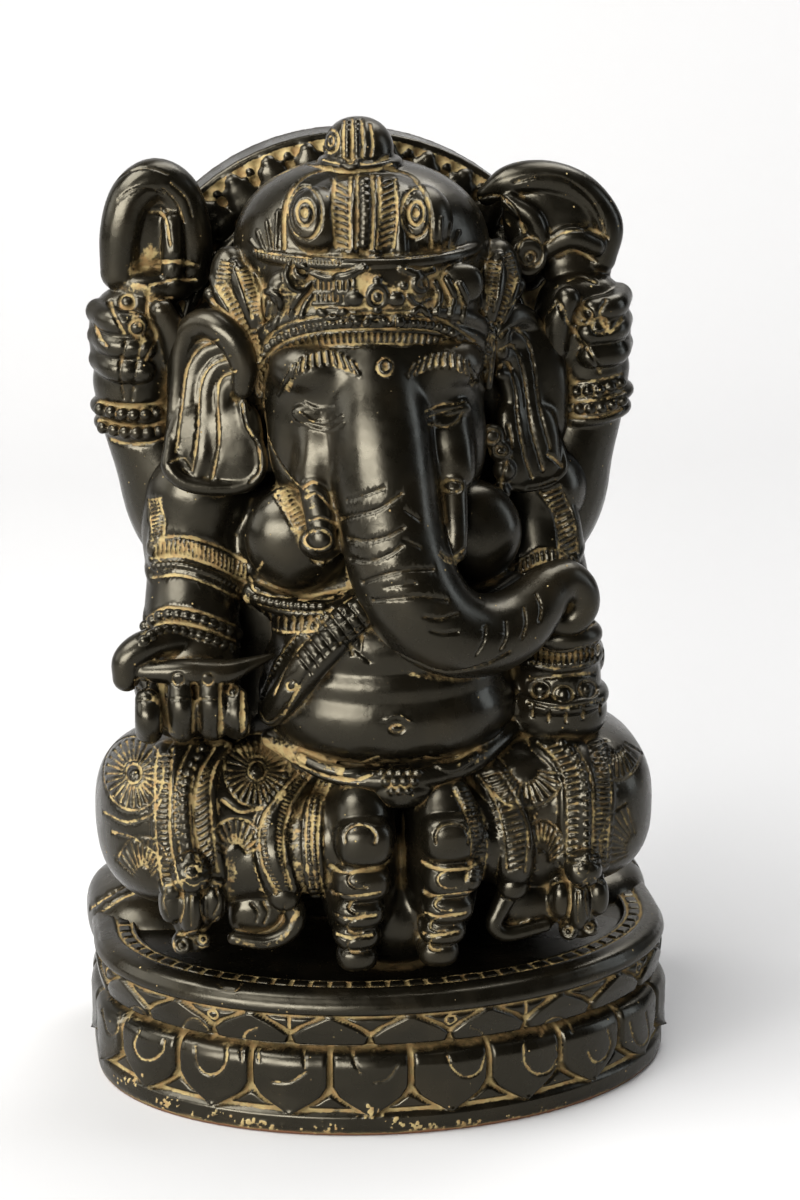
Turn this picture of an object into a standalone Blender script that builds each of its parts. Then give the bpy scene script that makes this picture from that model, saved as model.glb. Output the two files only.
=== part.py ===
"""A seated elephant-headed figure on a two-tier lotus base, cast as one solid stone body."""

import math

import bmesh
import bpy
import numpy as np

for old in list(bpy.data.objects):
    bpy.data.objects.remove(old, do_unlink=True)

# Driving sizes, in millimetres. x is to the viewer's right, y runs to the back, z is up.
BASE_HALF_WIDTH = 76.0
BASE_HALF_DEPTH = 53.5
BACK_SQUARENESS = 4.0
RIM_TOP = 38.5
PLATFORM_TOP = 36.5
GROOVE_Z = 24.6
PETALS = 21
LEFT_KNEE_OUT = 46.2
RIGHT_KNEE_OUT = 40.0
HAND_Z = 100.0
WAIST_Z = 104.5
CHEST_Z = 140.0
HEAD_Z = 182.0
CROWN_Z = 216.0
LEAN_FROM = 95.0
LEAN = 0.035
HALO_CENTRE_Z = 182.0
HALO_RADIUS = 60.5
HALO_DEPTH = 12.5
HALO_Y = 26.0
HALO_LEAVES = 15

# How finely the joined skin is made, and the unit.
VOXEL = 0.9
TRIANGLES = 9700
MM = 0.001
SIDES = (-1, 1)

# The statue's own collection holds all that is made here.
statue = bpy.data.collections.new("ganesha_statue")
bpy.context.scene.collection.children.link(statue)
layer = bpy.context.view_layer.layer_collection.children[statue.name]
bpy.context.view_layer.active_layer_collection = layer
forms = []


# Helpers: every one adds a closed form to the scene and notes it for the joining.
def keep_form():
    form = bpy.context.active_object
    forms.append(form)
    return form


def ball(centre, radii, turn=(0, 0, 0), power=2.0, segments=28, rings=18):
    """An ellipsoid, or with a higher power a fuller pillow. The turn is in degrees."""
    bpy.ops.mesh.primitive_uv_sphere_add(
        segments=segments,
        ring_count=rings,
        radius=1.0,
        location=np.array(centre) * MM,
        rotation=[math.radians(angle) for angle in turn],
    )
    form = keep_form()
    form.scale = np.array(radii) * MM
    if power != 2.0:
        points = np.empty(len(form.data.vertices) * 3)
        form.data.vertices.foreach_get("co", points)
        points = points.reshape(-1, 3)
        points /= (np.abs(points) ** power).sum(axis=1, keepdims=True) ** (1 / power)
        form.data.vertices.foreach_set("co", points.ravel())


def through(rows, steps=6):
    """A smooth path through the rows, by Catmull-Rom."""
    rows = np.array(rows, float)
    rows = np.vstack([2 * rows[0] - rows[1], rows, 2 * rows[-1] - rows[-2]])
    path = []
    for i in range(1, len(rows) - 2):
        a, b, c, d = rows[i - 1 : i + 3]
        for t in np.arange(steps) / steps:
            square = t * t
            cube = t * t * t
            path.append(0.5 * (2 * b + (c - a) * t + (2 * a - 5 * b + 4 * c - d) * square
                               + (3 * b - a - 3 * c + d) * cube))
    path.append(rows[-2])
    return np.array(path)


def limb(rows, steps=6):
    """A round bar along rows of x, y, z and radius, with a ball at each end."""
    path = through(rows, steps)
    curve = bpy.data.curves.new("limb", "CURVE")
    curve.dimensions = "3D"
    curve.bevel_depth = MM
    curve.bevel_resolution = 3
    curve.use_fill_caps = True
    spline = curve.splines.new("POLY")
    spline.points.add(len(path) - 1)
    for point, (x, y, z, radius) in zip(spline.points, path):
        point.co = (x * MM, y * MM, z * MM, 1.0)
        point.radius = radius
    form = bpy.data.objects.new("limb", curve)
    bpy.context.collection.objects.link(form)
    bpy.ops.object.select_all(action="DESELECT")
    form.select_set(True)
    bpy.context.view_layer.objects.active = form
    bpy.ops.object.convert(target="MESH")
    keep_form()
    for x, y, z, radius in (path[0], path[-1]):
        ball((x, y, z), (radius, radius, radius), segments=16, rings=10)


def mirrored(rows, side):
    """Rows drawn for the viewer's right, turned over to the left where the side asks for it."""
    return [(side * row[0], *row[1:]) for row in rows]


def hoop(centre, radii, thick, turn=(0, 0, 0)):
    """A ring of round section; radii are its half-width and half-depth."""
    bpy.ops.mesh.primitive_torus_add(
        major_segments=40,
        minor_segments=8,
        major_radius=1.0,
        minor_radius=thick / max(radii),
        location=np.array(centre) * MM,
        rotation=[math.radians(angle) for angle in turn],
    )
    form = keep_form()
    form.scale = (radii[0] * MM, radii[1] * MM, max(radii) * MM)


def shell(rings, name):
    """A closed body from rings of points, each joined to the next, with flat ends."""
    rings = np.array(rings) * MM
    rows, columns = rings.shape[:2]
    faces = []
    for i in range(rows - 1):
        for j in range(columns):
            k = (j + 1) % columns
            low = i * columns
            high = (i + 1) * columns
            faces.append((low + j, low + k, high + k, high + j))
    faces.append(tuple(range(columns - 1, -1, -1)))
    faces.append(tuple((rows - 1) * columns + j for j in range(columns)))
    mesh = bpy.data.meshes.new(name)
    mesh.from_pydata(rings.reshape(-1, 3), [], faces)
    form = bpy.data.objects.new(name, mesh)
    bpy.context.collection.objects.link(form)
    forms.append(form)
    return form


def smooth_step(low, high, value):
    t = np.clip((value - low) / (high - low), 0, 1)
    return t * t * (3 - 2 * t)


# The lotus base: one profile run round the outline, with two rows of petals standing out of it.
def base_outline(count):
    """Points of the base's outline, evenly spaced, with the outward direction at each."""
    angle = np.linspace(-math.pi / 2, 1.5 * math.pi, 4001)
    power = np.where(np.sin(angle) > 0, BACK_SQUARENESS, 2.0)
    reach = (np.abs(np.cos(angle)) ** power + np.abs(np.sin(angle)) ** power) ** (-1 / power)
    line = np.stack([BASE_HALF_WIDTH * reach * np.cos(angle), BASE_HALF_DEPTH * reach * np.sin(angle)], 1)
    length = np.concatenate([[0], np.cumsum(np.hypot(*np.diff(line, axis=0).T))])
    at = np.arange(count) / count * length[-1]
    points = np.stack([np.interp(at, length, line[:, i]) for i in (0, 1)], 1)
    along = np.roll(points, -1, 0) - np.roll(points, 1, 0)
    out = np.stack([along[:, 1], -along[:, 0]], 1)
    return points, out / np.linalg.norm(out, axis=1, keepdims=True)


def base_offset(turn, z):
    """How far the base stands out from its outline, at a share of the way round and a height."""
    profile_z = [-4, 0.8, 2.5, 9, 11, 20, 23, GROOVE_Z, 26.5, 30, 33.5, 36, 37.8, RIM_TOP]
    profile_out = [-1.2, -1.0, -0.6, -0.9, -3.2, -2.6, -3.0, -5.5, -3.2, -2.6, -1.6, -1.2, -2.8, -6.0]
    low_petal_out = 2.9
    upper_petal_out = 1.8
    petal_shoulder_z = 16.0
    petal_round = 7.0
    out = np.interp(z, profile_z, profile_out)
    low_across = np.abs((turn * PETALS) % 1.0 - 0.5) * 2
    low_half = 0.93 * np.sqrt(np.clip(1 - (np.clip(petal_shoulder_z - z, 0, None) / petal_round) ** 2, 0, 1))
    low = smooth_step(0.0, 0.16, low_half - low_across) * smooth_step(GROOVE_Z, 22.3, z)
    upper_across = np.abs((turn * PETALS + 0.5) % 1.0 - 0.5) * 2
    upper_half = np.interp(z, [24.8, 28.0, 33.8], [0.8, 1.0, 0.15])
    upper = smooth_step(0.0, 0.22, upper_half - upper_across * 0.97)
    upper = upper * smooth_step(24.8, 26.2, z) * smooth_step(34.3, 33.4, z)
    return out + low_petal_out * low + upper_petal_out * upper


def lotus_base():
    """The base's body: the profile's rings, then the rim's roll and the sunk platform."""
    points_a_petal = 20
    below_the_floor = -4.0
    first_level = 0.5
    levels_up = 52
    rim_inset = -9.5
    platform_inset = -10.8
    outline, outward = base_outline(PETALS * points_a_petal)
    turns = np.arange(len(outline)) / len(outline)
    levels = np.concatenate([[below_the_floor], np.linspace(first_level, RIM_TOP, levels_up)])
    rings = []
    for z in levels:
        flat = outline + outward * base_offset(turns, np.full(len(turns), z))[:, None]
        rings.append(np.column_stack([flat, np.full(len(flat), z)]))
    for inset, z in ((rim_inset, RIM_TOP + 0.3), (platform_inset, PLATFORM_TOP)):
        flat = outline + outward * inset
        rings.append(np.column_stack([flat, np.full(len(flat), z)]))
    return shell(rings, "base")


def seat_step():
    """The raised step behind the figure, that carries its seat."""
    end_size = (18.8, 25.0, 11.5)
    for side in SIDES:
        ball((side * (BASE_HALF_WIDTH - end_size[0]), 27, 33), end_size, power=2.5)
    ball((0, 33, 37), (60, 19.5, 13), power=3.2)


# The legs are folded, and the two knees swell like pillows over the hem of the cloth.
SASH_END = [(45, -38, 86, 4.0), (49, -40.5, 72, 4.2), (46, -36, 58, 4.5)]
CLASP_BAND = [(25, -33, 90, 2.5), (34, -37, 79, 3.0), (36, -37.5, 70, 3.2), (28, -36, 56, 2.6),
              (26, -37, 47, 2.4), (33, -38, 42, 2.2), (41, -37, 42.5, 2.0)]
SHIN_FOLD = [(20, -33, 88, 2.3), (21.5, -38, 74, 2.3), (22, -36, 56, 2.2)]


def hips():
    ball((0, 12, 64), (56, 34, 26), power=2.4)
    ball((0, -6, 92), (36, 28, 15))


def leg(side, knee_out):
    """One knee with its thigh and shin, the sash end over it, and the clasp that hangs below."""
    ball((side * knee_out, -9, 74.0), (28.6, 28.5, 22.0), power=2.7)
    ball((side * (knee_out - 3), 8, 62), (24, 26, 16), power=2.4)
    limb([(side * 18, -2, 84, 14), (side * 44, -8, 80, 16)])
    limb([(side * 42, -24, 66, 13), (side * 27, -30, 70, 12), (side * 16, -33, 74, 10)])
    limb(mirrored(SASH_END, side))
    ball((side * 46.5, -33, 53), (7.0, 5.5, 7.5))
    ball((side * 46, -34, 44), (5.5, 5.0, 6.5))
    limb(mirrored(CLASP_BAND, side))
    limb(mirrored(SHIN_FOLD, side))


# The feet stand sole to sole. A toe is how far it lies out on the left and on the right foot,
# how far forward and how high, and its half-width, half-depth and half-height.
TOES = (
    (10.6, 10.7, -44.5, 77.5, 7.3, 7.0, 7.4),
    (11.4, 11.0, -45.0, 66.6, 6.9, 6.6, 5.6),
    (12.0, 10.4, -44.5, 58.6, 6.3, 6.0, 4.7),
    (12.4, 9.2, -43.3, 51.9, 5.6, 5.4, 4.2),
    (12.2, 8.4, -42.0, 45.4, 4.9, 5.0, 4.2),
)


def feet():
    for side in SIDES:
        ball((side * 10.4, -31, 67), (9.6, 13.0, 22.5), power=2.4)
        for left, right, y, z, wide, deep, high in TOES:
            ball((-left if side < 0 else right, y, z), (wide, deep, high))
    ball((0, -24, 50), (17, 16, 14))


# The belt dips at the middle of the belly, and a wrap runs under each breast.
BELT = [(-31, -22, 97, 2.6), (-17, -35, 91.5, 2.8), (0, -40, 90.5, 2.8), (17, -35, 92, 2.8),
        (31, -22, 97, 2.6)]
WRAP = [(33, -15, 133, 3.2), (22, -24.5, 131, 3.2), (8, -28, 131.5, 3)]
SACRED_CORD = [(-4, -34, 136, 4.2), (-12, -37, 131, 4.4), (-21, -38, 122, 4.4), (-27, -34, 113, 4.2),
               (-31, -28, 106, 3.8)]


def belly_and_chest():
    """The belly in two folds over its belt, the chest with two breasts, the wrap and the cord."""
    ball((0, -12.5, WAIST_Z), (32.5, 30.0, 15.5), power=2.3)
    ball((0, -12.5, WAIST_Z + 17.0), (28.5, 27.5, 15.5), power=2.2)
    limb(BELT)
    ball((0, -39, 87.5), (8, 4, 4.5))
    ball((0, 0, CHEST_Z), (38, 22, 24), power=2.3)
    for side in SIDES:
        ball((side * 21.5, -18.5, CHEST_Z + 8.0), (13.0, 9.5, 13.0))
    for side in SIDES:
        limb(mirrored(WRAP, side))
    limb(SACRED_CORD)


# The front arms differ: the left one lifts a blade from its knee, the right one holds a bowl.
LEFT_ARM = [(-44, 1, 155, 14.0), (-46.5, 0, 146, 12.8), (-46.6, -4, 135, 12.2), (-48.5, -11, 126, 12.0),
            (-49.0, -17, 118, 11.6)]
RIGHT_ARM = [(43, 2, 154, 13.0), (41.5, 0, 144, 11.2), (43, -5, 132, 11.2), (43, -12, 120, 11.0),
             (43.2, -16, 110, 11.6), (43, -17, 100, 11.8)]
ARM_BANDS = (
    ((-46.0, -2.5, 138.8), (11.6, 12.6), 1.7, (16, 14, 0)),
    ((-46.6, -4.0, 134.6), (11.6, 12.4), 1.7, (16, 14, 0)),
    ((-48.6, -12, 123.6), (11.0, 12.2), 2.0, (38, 12, 0)),
    ((41.8, -3.0, 138.5), (10.6, 11.6), 1.7, (16, -10, 0)),
    ((43.2, -15, 114.5), (11.0, 11.8), 1.9, (0, 0, 0)),
    ((43.2, -16.8, 104.0), (11.2, 12.2), 2.4, (0, 0, 0)),
)
FINGERS = ((-62.0, 112.0), (-53.8, 114.0), (-46.3, 114.5), (-40.2, 111.5))
THUMB = [(-46, -20, 121, 4.5), (-56, -25, 121.5, 4.6), (-63, -27, 117.8, 4.4), (-64.5, -27.5, 113.2, 4.2)]
BLADE = [(-60, -27, 115.5, 3.2), (-48, -30, 114.6, 4.4), (-38, -30, 116.6, 2.8), (-30, -29, 119.6, 0.9)]


def front_arms():
    limb(LEFT_ARM)
    limb(RIGHT_ARM)
    for centre, radii, thick, turn in ARM_BANDS:
        hoop(centre, radii, thick, turn)
    ball((-54.6, -4, 145), (4.0, 6, 9), turn=(0, 8, 0))
    ball((49.2, -4, 144), (3.8, 6, 9), turn=(0, -8, 0))


def front_hands():
    """The palms on the knees, four curled fingers and a thumb over the blade, and the bowl."""
    ball((-51, -20, HAND_Z + 10.0), (14, 11, 9.5), power=2.3)
    for x in (-50, 43):
        ball((x, -17, HAND_Z), (13.0, 12.0, 9.0), power=2.3)
    for x, knuckle_z in FINGERS:
        limb([(x, -28.5, knuckle_z, 3.0), (x, -31.0, knuckle_z - 4, 3.3), (x, -30.0, HAND_Z + 4.5, 3.4)])
    limb(THUMB)
    limb(BLADE)
    ball((44.5, -21, HAND_Z + 21.0), (10.0, 9.0, 5.0))
    ball((53.0, -12, HAND_Z + 12.0), (3.8, 5, 6))


# The trunk runs down the chest and round to the viewer's right, and its tip curls under.
TRUNK = [(0, -19, 190, 12.6), (0, -26.5, 178, 12.6), (-0.2, -30, 166, 11.8), (0, -32, 154.5, 12.2),
         (1.8, -34, 144, 12.9), (5.5, -35.5, 135, 13.2), (12.0, -36, 128.5, 12.2), (21, -35, 125.8, 10.6),
         (29.5, -33, 127.6, 9.3), (35.6, -31, 132.0, 7.8), (40.0, -29, 135.8, 6.4),
         (44.2, -27.8, 137.0, 5.3), (47.8, -27, 134.2, 4.6), (48.4, -26.5, 129.6, 4.3),
         (45.4, -26.5, 125.8, 4.0), (41.6, -26.5, 126.4, 3.7), (40.6, -27, 129.6, 3.2)]
BROKEN_TUSK = [(-17.8, -27, 163.5, 4.0), (-17.2, -31.0, 156, 3.9), (-17.2, -32.5, 151.5, 3.8)]
WHOLE_TUSK = [(16.6, -27, 163.5, 3.5), (16.0, -32.0, 154, 3.2), (15.4, -34.0, 147.5, 3.0)]


def head():
    """The skull with its domes, cheeks, brows, eyelids and tusk sockets, and the two tusks."""
    ball((0, -7, HEAD_Z), (28.0, 22.5, 24.0), power=2.3)
    for side in SIDES:
        ball((side * 17.5, -19.5, HEAD_Z + 2.0), (10.5, 9.5, 14))
        ball((side * 19.5, -19.0, HEAD_Z - 13.0), (8.5, 9.5, 12))
        ball((side * 15, -25.5, HEAD_Z + 10.5), (10, 4.5, 5.0))
        ball((side * 15.2, -28.0, HEAD_Z - 0.8), (6.2, 3.2, 3.6))
        ball((side * 16.8, -26.5, HEAD_Z - 17.5), (5.6, 6.5, 4.5))
    limb(BROKEN_TUSK)
    limb(WHOLE_TUSK)
    ball((-17, -29, 149.5), (6.0, 5.0, 4.6))


# An ear is a thin fan with a rolled rim, a hook at its top and three upright folds. A fold is
# how far out its top and its bottom lie, and how much it stands back.
EAR_RIM = [(30.5, -8.5, 184.5, 2.7), (31.5, -7.5, 190.5, 2.7), (35.0, -5.0, 197.0, 2.7),
           (40.0, -2.0, 199.8, 2.7), (45.0, 0.5, 196.5, 2.6), (47.8, 1.8, 187.0, 2.5),
           (48.8, 2.0, 176.0, 2.4), (51.0, 2.4, 165.5, 2.4), (51.0, 1.0, 159.5, 2.4),
           (46.0, -2.0, 156.4, 2.3), (38.0, -5.5, 155.6, 2.3), (30.5, -8.6, 158.5, 2.2),
           (28.2, -9.6, 165.0, 2.1), (30.8, -9.0, 172.5, 2.0), (30.8, -9.0, 180.0, 2.0)]
EAR_FOLDS = ((45.2, 47.2, 0.4), (41.0, 43.6, -1.4), (37.6, 39.0, -3.0))


def ear(side):
    ball((side * 39.5, -1.0, 178), (12.0, 4.6, 21.5), turn=(0, side * 4, side * 14), power=2.5)
    ball((side * 41.0, -1.5, 165), (11.6, 4.8, 10.0), turn=(0, 0, side * 12), power=2.5)
    limb(mirrored(EAR_RIM, side))
    for top, bottom, back in EAR_FOLDS:
        limb([(side * (top - 3), back - 4.2, 193, 1.4), (side * top, back - 4.4, 187, 1.8),
              (side * (top + 0.4), back - 4.6, 175, 1.9), (side * bottom, back - 4.6, 161, 1.7)])


# The crown's two brow bands pass over the forehead, and its drum widens to a rim at the top.
BROW_BAND = [(-27.5, -10, 194, 2.0), (-23.0, -18.5, 200.5, 2.2), (-12, -25.5, 203.8, 2.2),
             (0, -28, 204.6, 2.2), (12, -25.5, 203.8, 2.2), (23.0, -18.5, 200.5, 2.2),
             (27.5, -10, 194, 2.0)]
UPPER_BROW_BAND = [(-28.5, -9, 198, 2.0), (-24.0, -18.5, 205.0, 2.2), (-12, -26.0, 207.8, 2.2),
                   (0, -28, 208.4, 2.2), (12, -26.0, 207.8, 2.2), (24.0, -18.5, 205.0, 2.2),
                   (28.5, -9, 198, 2.0)]
DRUM = ((198, 27.5, 24.0), (203, 28.5, 26.5), (210, 28.6, 26.5), (216, 28.2, 26.0),
        (218.2, 29.0, 27.0), (219.6, 28.4, 26.4))
DRUM_SIDES = 48
DRUM_Y = -1.5
CREST_RIBS = (-4.8, 0, 4.8)


def crown():
    """The padded foot of the crown, its drum and bands, the jewels, the dome with a crest, the knob."""
    ball((0, -2.5, CROWN_Z - 10.0), (28.8, 25.5, 9.0), power=2.6)
    round_it = np.linspace(0, 2 * math.pi, DRUM_SIDES, endpoint=False)
    shell([np.column_stack([wide * np.cos(round_it), DRUM_Y + deep * np.sin(round_it), np.full(DRUM_SIDES, z)])
           for z, wide, deep in DRUM], "crown_band")
    limb(BROW_BAND)
    limb(UPPER_BROW_BAND)
    ball((0, -27.5, CROWN_Z - 4.0), (8.5, 3.2, 5.5))
    for side in SIDES:
        ball((side * 31, -6, CROWN_Z - 9.0), (7.5, 6, 12), turn=(0, side * 12, 0))
        ball((side * 20.5, -22, CROWN_Z - 4.5), (4.0, 3.0, 4.0))
    ball((0, 2, CROWN_Z), (32.0, 23.5, 23.0), power=2.2)
    ball((0, -7.5, CROWN_Z + 3.0), (21.5, 15.5, 18.0), power=2.3)
    for side in SIDES:
        ball((side * 12.8, -16.5, CROWN_Z + 11.0), (7.2, 6.0, 8.0), turn=(-32, 0, 0))
    for x in CREST_RIBS:
        limb([(x, -22.5, CROWN_Z + 4.5, 1.6), (x, -20.2, CROWN_Z + 12.5, 1.6),
              (x, -13.0, CROWN_Z + 18.5, 1.6)])
    hoop((0, 0, CROWN_Z + 22.2), (9.2, 8.6), 1.5)
    ball((0, 0.5, CROWN_Z + 25.0), (8.6, 8.2, 8.4), power=2.2)


def halo():
    """A disc behind the head with a smooth rim, an inner ring and a row of leaves between them."""
    rim_thick = 4.0
    inner_ring = 46.5
    leaf_ring = 51.6
    leaf_spread = 63
    rim_radius = HALO_RADIUS - rim_thick
    hoop((0, HALO_Y, HALO_CENTRE_Z), (rim_radius, rim_radius), rim_thick, (90, 0, 0))
    bpy.ops.mesh.primitive_cylinder_add(
        vertices=64,
        radius=(HALO_RADIUS - 3.0) * MM,
        depth=HALO_DEPTH * MM,
        location=(0, (HALO_Y + 1.2) * MM, HALO_CENTRE_Z * MM),
        rotation=(math.pi / 2, 0, 0),
    )
    keep_form()
    hoop((0, HALO_Y - 5.5, HALO_CENTRE_Z), (inner_ring, inner_ring), 2.2, (90, 0, 0))
    for i in range(HALO_LEAVES):
        tilt = math.radians(-leaf_spread + 2 * leaf_spread * i / (HALO_LEAVES - 1))
        place = (leaf_ring * math.sin(tilt), HALO_Y - 5.8, HALO_CENTRE_Z + leaf_ring * math.cos(tilt))
        ball(place, (3.7, 3.0, 4.6), turn=(0, math.degrees(tilt), 0))


def back():
    """One plain swelling from the seat to the neck."""
    ball((0, 14, 106), (50, 25, 62), power=2.4)
    ball((0, 18, 166), (54, 15.5, 44), power=2.4)


# A rear arm rises beside the head to a fist. A finger is its height and how far round it reaches.
REAR_ARM = [(40, 8, 138, 14), (47.5, 9, 149, 14.0), (52.0, 9, 161, 12.4), (57.0, 8.5, 172, 9.8),
            (58.5, 8, 183, 10.2)]
REAR_THUMB = [(47, 0, 186, 3.8), (48, -2.5, 195, 3.8), (51, -3, 203, 3.5)]
REAR_FINGERS = ((201.5, 8.5), (195.5, 10.0), (189.5, 9.5))
HOOD = [(-60.5, 7, 211, 4.6), (-59.2, 7, 221, 5.4), (-56.0, 7.5, 229.6, 5.6), (-50.0, 8, 233.6, 5.6),
        (-44.3, 8.5, 229.6, 5.6), (-42.0, 8.5, 219, 5.4), (-42.6, 8.5, 210, 4.8)]
FAN_RIM = [(33.5, 12, 227.0, 2.6), (39.5, 10, 231.0, 4.0), (48.5, 9, 231.6, 4.4), (57.5, 9, 227.8, 4.5),
           (63.2, 9, 219.5, 4.6), (61.5, 9, 211.0, 4.4)]


def rear_arm(side):
    """The arm with two rows of wrist beads, and the fist with its fingers and thumb."""
    limb(mirrored(REAR_ARM, side))
    hoop((side * 57.5, 8.2, 171.5), (10.2, 9.8), 1.8, (0, side * -8, 0))
    hoop((side * 58.2, 8.2, 175.8), (10.2, 9.8), 1.8, (0, side * -8, 0))
    ball((side * 56.5, 7.5, 194), (12.4, 10.0, 14.0), power=2.4)
    for z, reach in REAR_FINGERS:
        limb([(side * 66.0, 6, z, 3.4), (side * 63.0, -1.0, z - 1.0, 3.5),
              (side * (66 - reach), -3.2, z - 1.5, 3.2)])
    limb(mirrored(REAR_THUMB, side))


def hood_and_fan():
    """What the fists hold up: a hooded loop on the viewer's left, a rolled fan on the right."""
    ball((-51.5, 8.5, 207.5), (9.5, 7.5, 5.0))
    limb(HOOD)
    ball((-51, 13, 220), (11, 6, 13))
    limb(FAN_RIM)
    ball((51, 13, 219.5), (13.5, 6.5, 12.5))
    ball((43.0, 5, 213), (4.5, 4.5, 7.0))


def joined(body):
    """All forms in one mesh under the statue's name, facing outwards."""
    bpy.ops.object.select_all(action="DESELECT")
    for form in forms:
        form.select_set(True)
    bpy.context.view_layer.objects.active = body
    bpy.ops.object.join()
    body.name = "ganesha_statue"
    body.data.name = "ganesha_statue"
    bpy.ops.object.mode_set(mode="EDIT")
    bpy.ops.mesh.select_all(action="SELECT")
    bpy.ops.mesh.normals_make_consistent(inside=False)
    bpy.ops.object.mode_set(mode="OBJECT")


def apply_modifier(body, kind, **settings):
    modifier = body.modifiers.new(kind.lower(), kind)
    for key, value in settings.items():
        setattr(modifier, key, value)
    bpy.ops.object.modifier_apply(modifier=modifier.name)


def keep_largest(body):
    """Drops every loose piece but the largest, so that no sealed pocket stays inside."""
    mesh = bmesh.new()
    mesh.from_mesh(body.data)
    mesh.verts.ensure_lookup_table()
    left = set(mesh.verts)
    groups = []
    while left:
        first = left.pop()
        group = {first}
        edge = [first]
        while edge:
            near = [e.other_vert(v) for v in edge for e in v.link_edges]
            edge = [v for v in dict.fromkeys(near) if v not in group]
            group.update(edge)
        left -= group
        groups.append(group)
    groups.sort(key=len)
    for group in groups[:-1]:
        bmesh.ops.delete(mesh, geom=list(group), context="VERTS")
    mesh.to_mesh(body.data)
    mesh.free()


def lean(body):
    """The figure above its knees leans to the viewer's left, as the casting does."""
    points = np.empty(len(body.data.vertices) * 3)
    body.data.vertices.foreach_get("co", points)
    points = points.reshape(-1, 3)
    points[:, 0] -= LEAN * np.clip(points[:, 2] - LEAN_FROM * MM, 0, None)
    body.data.vertices.foreach_set("co", points.ravel())


def cut_underside():
    """The underside is cut flat, so that the figure stands on it."""
    bpy.ops.object.mode_set(mode="EDIT")
    bpy.ops.mesh.select_all(action="SELECT")
    bpy.ops.mesh.bisect(plane_co=(0, 0, 0), plane_no=(0, 0, 1), use_fill=True, clear_inner=True)
    bpy.ops.mesh.select_all(action="SELECT")
    bpy.ops.mesh.quads_convert_to_tris()
    bpy.ops.mesh.normals_make_consistent(inside=False)
    bpy.ops.object.mode_set(mode="OBJECT")


def black_stone():
    """Cast stone with a waxed, nearly black face."""
    stone = bpy.data.materials.new("black_stone")
    stone.use_nodes = True
    shader = stone.node_tree.nodes["Principled BSDF"]
    shader.inputs["Base Color"].default_value = (0.022, 0.020, 0.017, 1.0)
    shader.inputs["Roughness"].default_value = 0.38
    return stone


# The figure is built up from its base, then made one skin, eased, leaned and cut flat below.
body = lotus_base()
seat_step()
hips()
leg(-1, LEFT_KNEE_OUT)
leg(1, RIGHT_KNEE_OUT)
feet()
belly_and_chest()
front_arms()
front_hands()
limb(TRUNK, steps=5)
head()
ear(-1)
ear(1)
crown()
halo()
back()
rear_arm(-1)
rear_arm(1)
hood_and_fan()
joined(body)
apply_modifier(body, "REMESH", mode="VOXEL", voxel_size=VOXEL * MM, adaptivity=0.0)
keep_largest(body)
apply_modifier(body, "SMOOTH", factor=0.5, iterations=3)
lean(body)
apply_modifier(body, "TRIANGULATE")
apply_modifier(body, "DECIMATE", ratio=TRIANGLES / len(body.data.polygons))
cut_underside()
body.data.materials.clear()
body.data.materials.append(black_stone())
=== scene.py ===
"""The looks of a small seated elephant-headed figure, cast in dark stone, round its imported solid."""

import itertools
import math

import bpy
import numpy as np
from mathutils import Matrix, Vector
from mathutils.bvhtree import BVHTree


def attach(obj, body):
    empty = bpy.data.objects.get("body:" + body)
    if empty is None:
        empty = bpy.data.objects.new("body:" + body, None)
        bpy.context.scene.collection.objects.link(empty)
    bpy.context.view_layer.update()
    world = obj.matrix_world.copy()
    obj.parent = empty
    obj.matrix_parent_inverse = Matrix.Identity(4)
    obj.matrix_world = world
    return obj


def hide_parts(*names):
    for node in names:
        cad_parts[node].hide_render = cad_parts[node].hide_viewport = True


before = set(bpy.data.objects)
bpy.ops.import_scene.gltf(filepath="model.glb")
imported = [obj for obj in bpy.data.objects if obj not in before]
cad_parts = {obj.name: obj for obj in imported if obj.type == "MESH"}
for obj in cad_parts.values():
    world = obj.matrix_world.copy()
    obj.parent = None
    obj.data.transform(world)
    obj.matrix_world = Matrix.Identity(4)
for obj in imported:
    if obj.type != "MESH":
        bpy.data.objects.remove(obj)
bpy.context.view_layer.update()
MM = 0.001

# The camera stands where the photograph's stood: a little to the figure's right, and above it.
# Its line of sight also carries the fine marks, given in the photograph's pixels, to the stone.
PHOTO_WIDTH, PHOTO_HEIGHT = 800, 1200
EYE_TURN = math.radians(-8.5)
EYE_RISE = math.radians(17.0)
EYE_DISTANCE = 850.0
EYE_TARGET = Vector((5.0, 0.0, 125.0))
PIXEL_SIZE = 0.2567
SENSOR_HEIGHT = 24.0

pixels_away = EYE_DISTANCE / PIXEL_SIZE
eye_back = Vector((
    math.sin(EYE_TURN) * math.cos(EYE_RISE),
    -math.cos(EYE_TURN) * math.cos(EYE_RISE),
    math.sin(EYE_RISE),
))
eye_right = Vector((math.cos(EYE_TURN), math.sin(EYE_TURN), 0.0))
eye_up = eye_back.cross(eye_right)
eye = EYE_TARGET + eye_back * EYE_DISTANCE

camera = bpy.data.objects.new("camera", bpy.data.cameras.new("camera"))
bpy.context.scene.collection.objects.link(camera)
camera.data.sensor_fit = "VERTICAL"
camera.data.sensor_height = SENSOR_HEIGHT
camera.data.lens = SENSOR_HEIGHT * pixels_away / PHOTO_HEIGHT
camera.data.clip_start = 0.05
camera.matrix_world = Matrix.Translation(eye * MM) @ Matrix(
    (eye_right, eye_up, eye_back)).transposed().to_4x4()
bpy.context.scene.camera = camera


def sight(u, v):
    """The direction in which the camera sees a pixel of the photograph."""
    across = eye_right * (u - PHOTO_WIDTH / 2) / pixels_away
    upward = eye_up * (PHOTO_HEIGHT / 2 - v) / pixels_away
    return (across + upward - eye_back).normalized()


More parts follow.
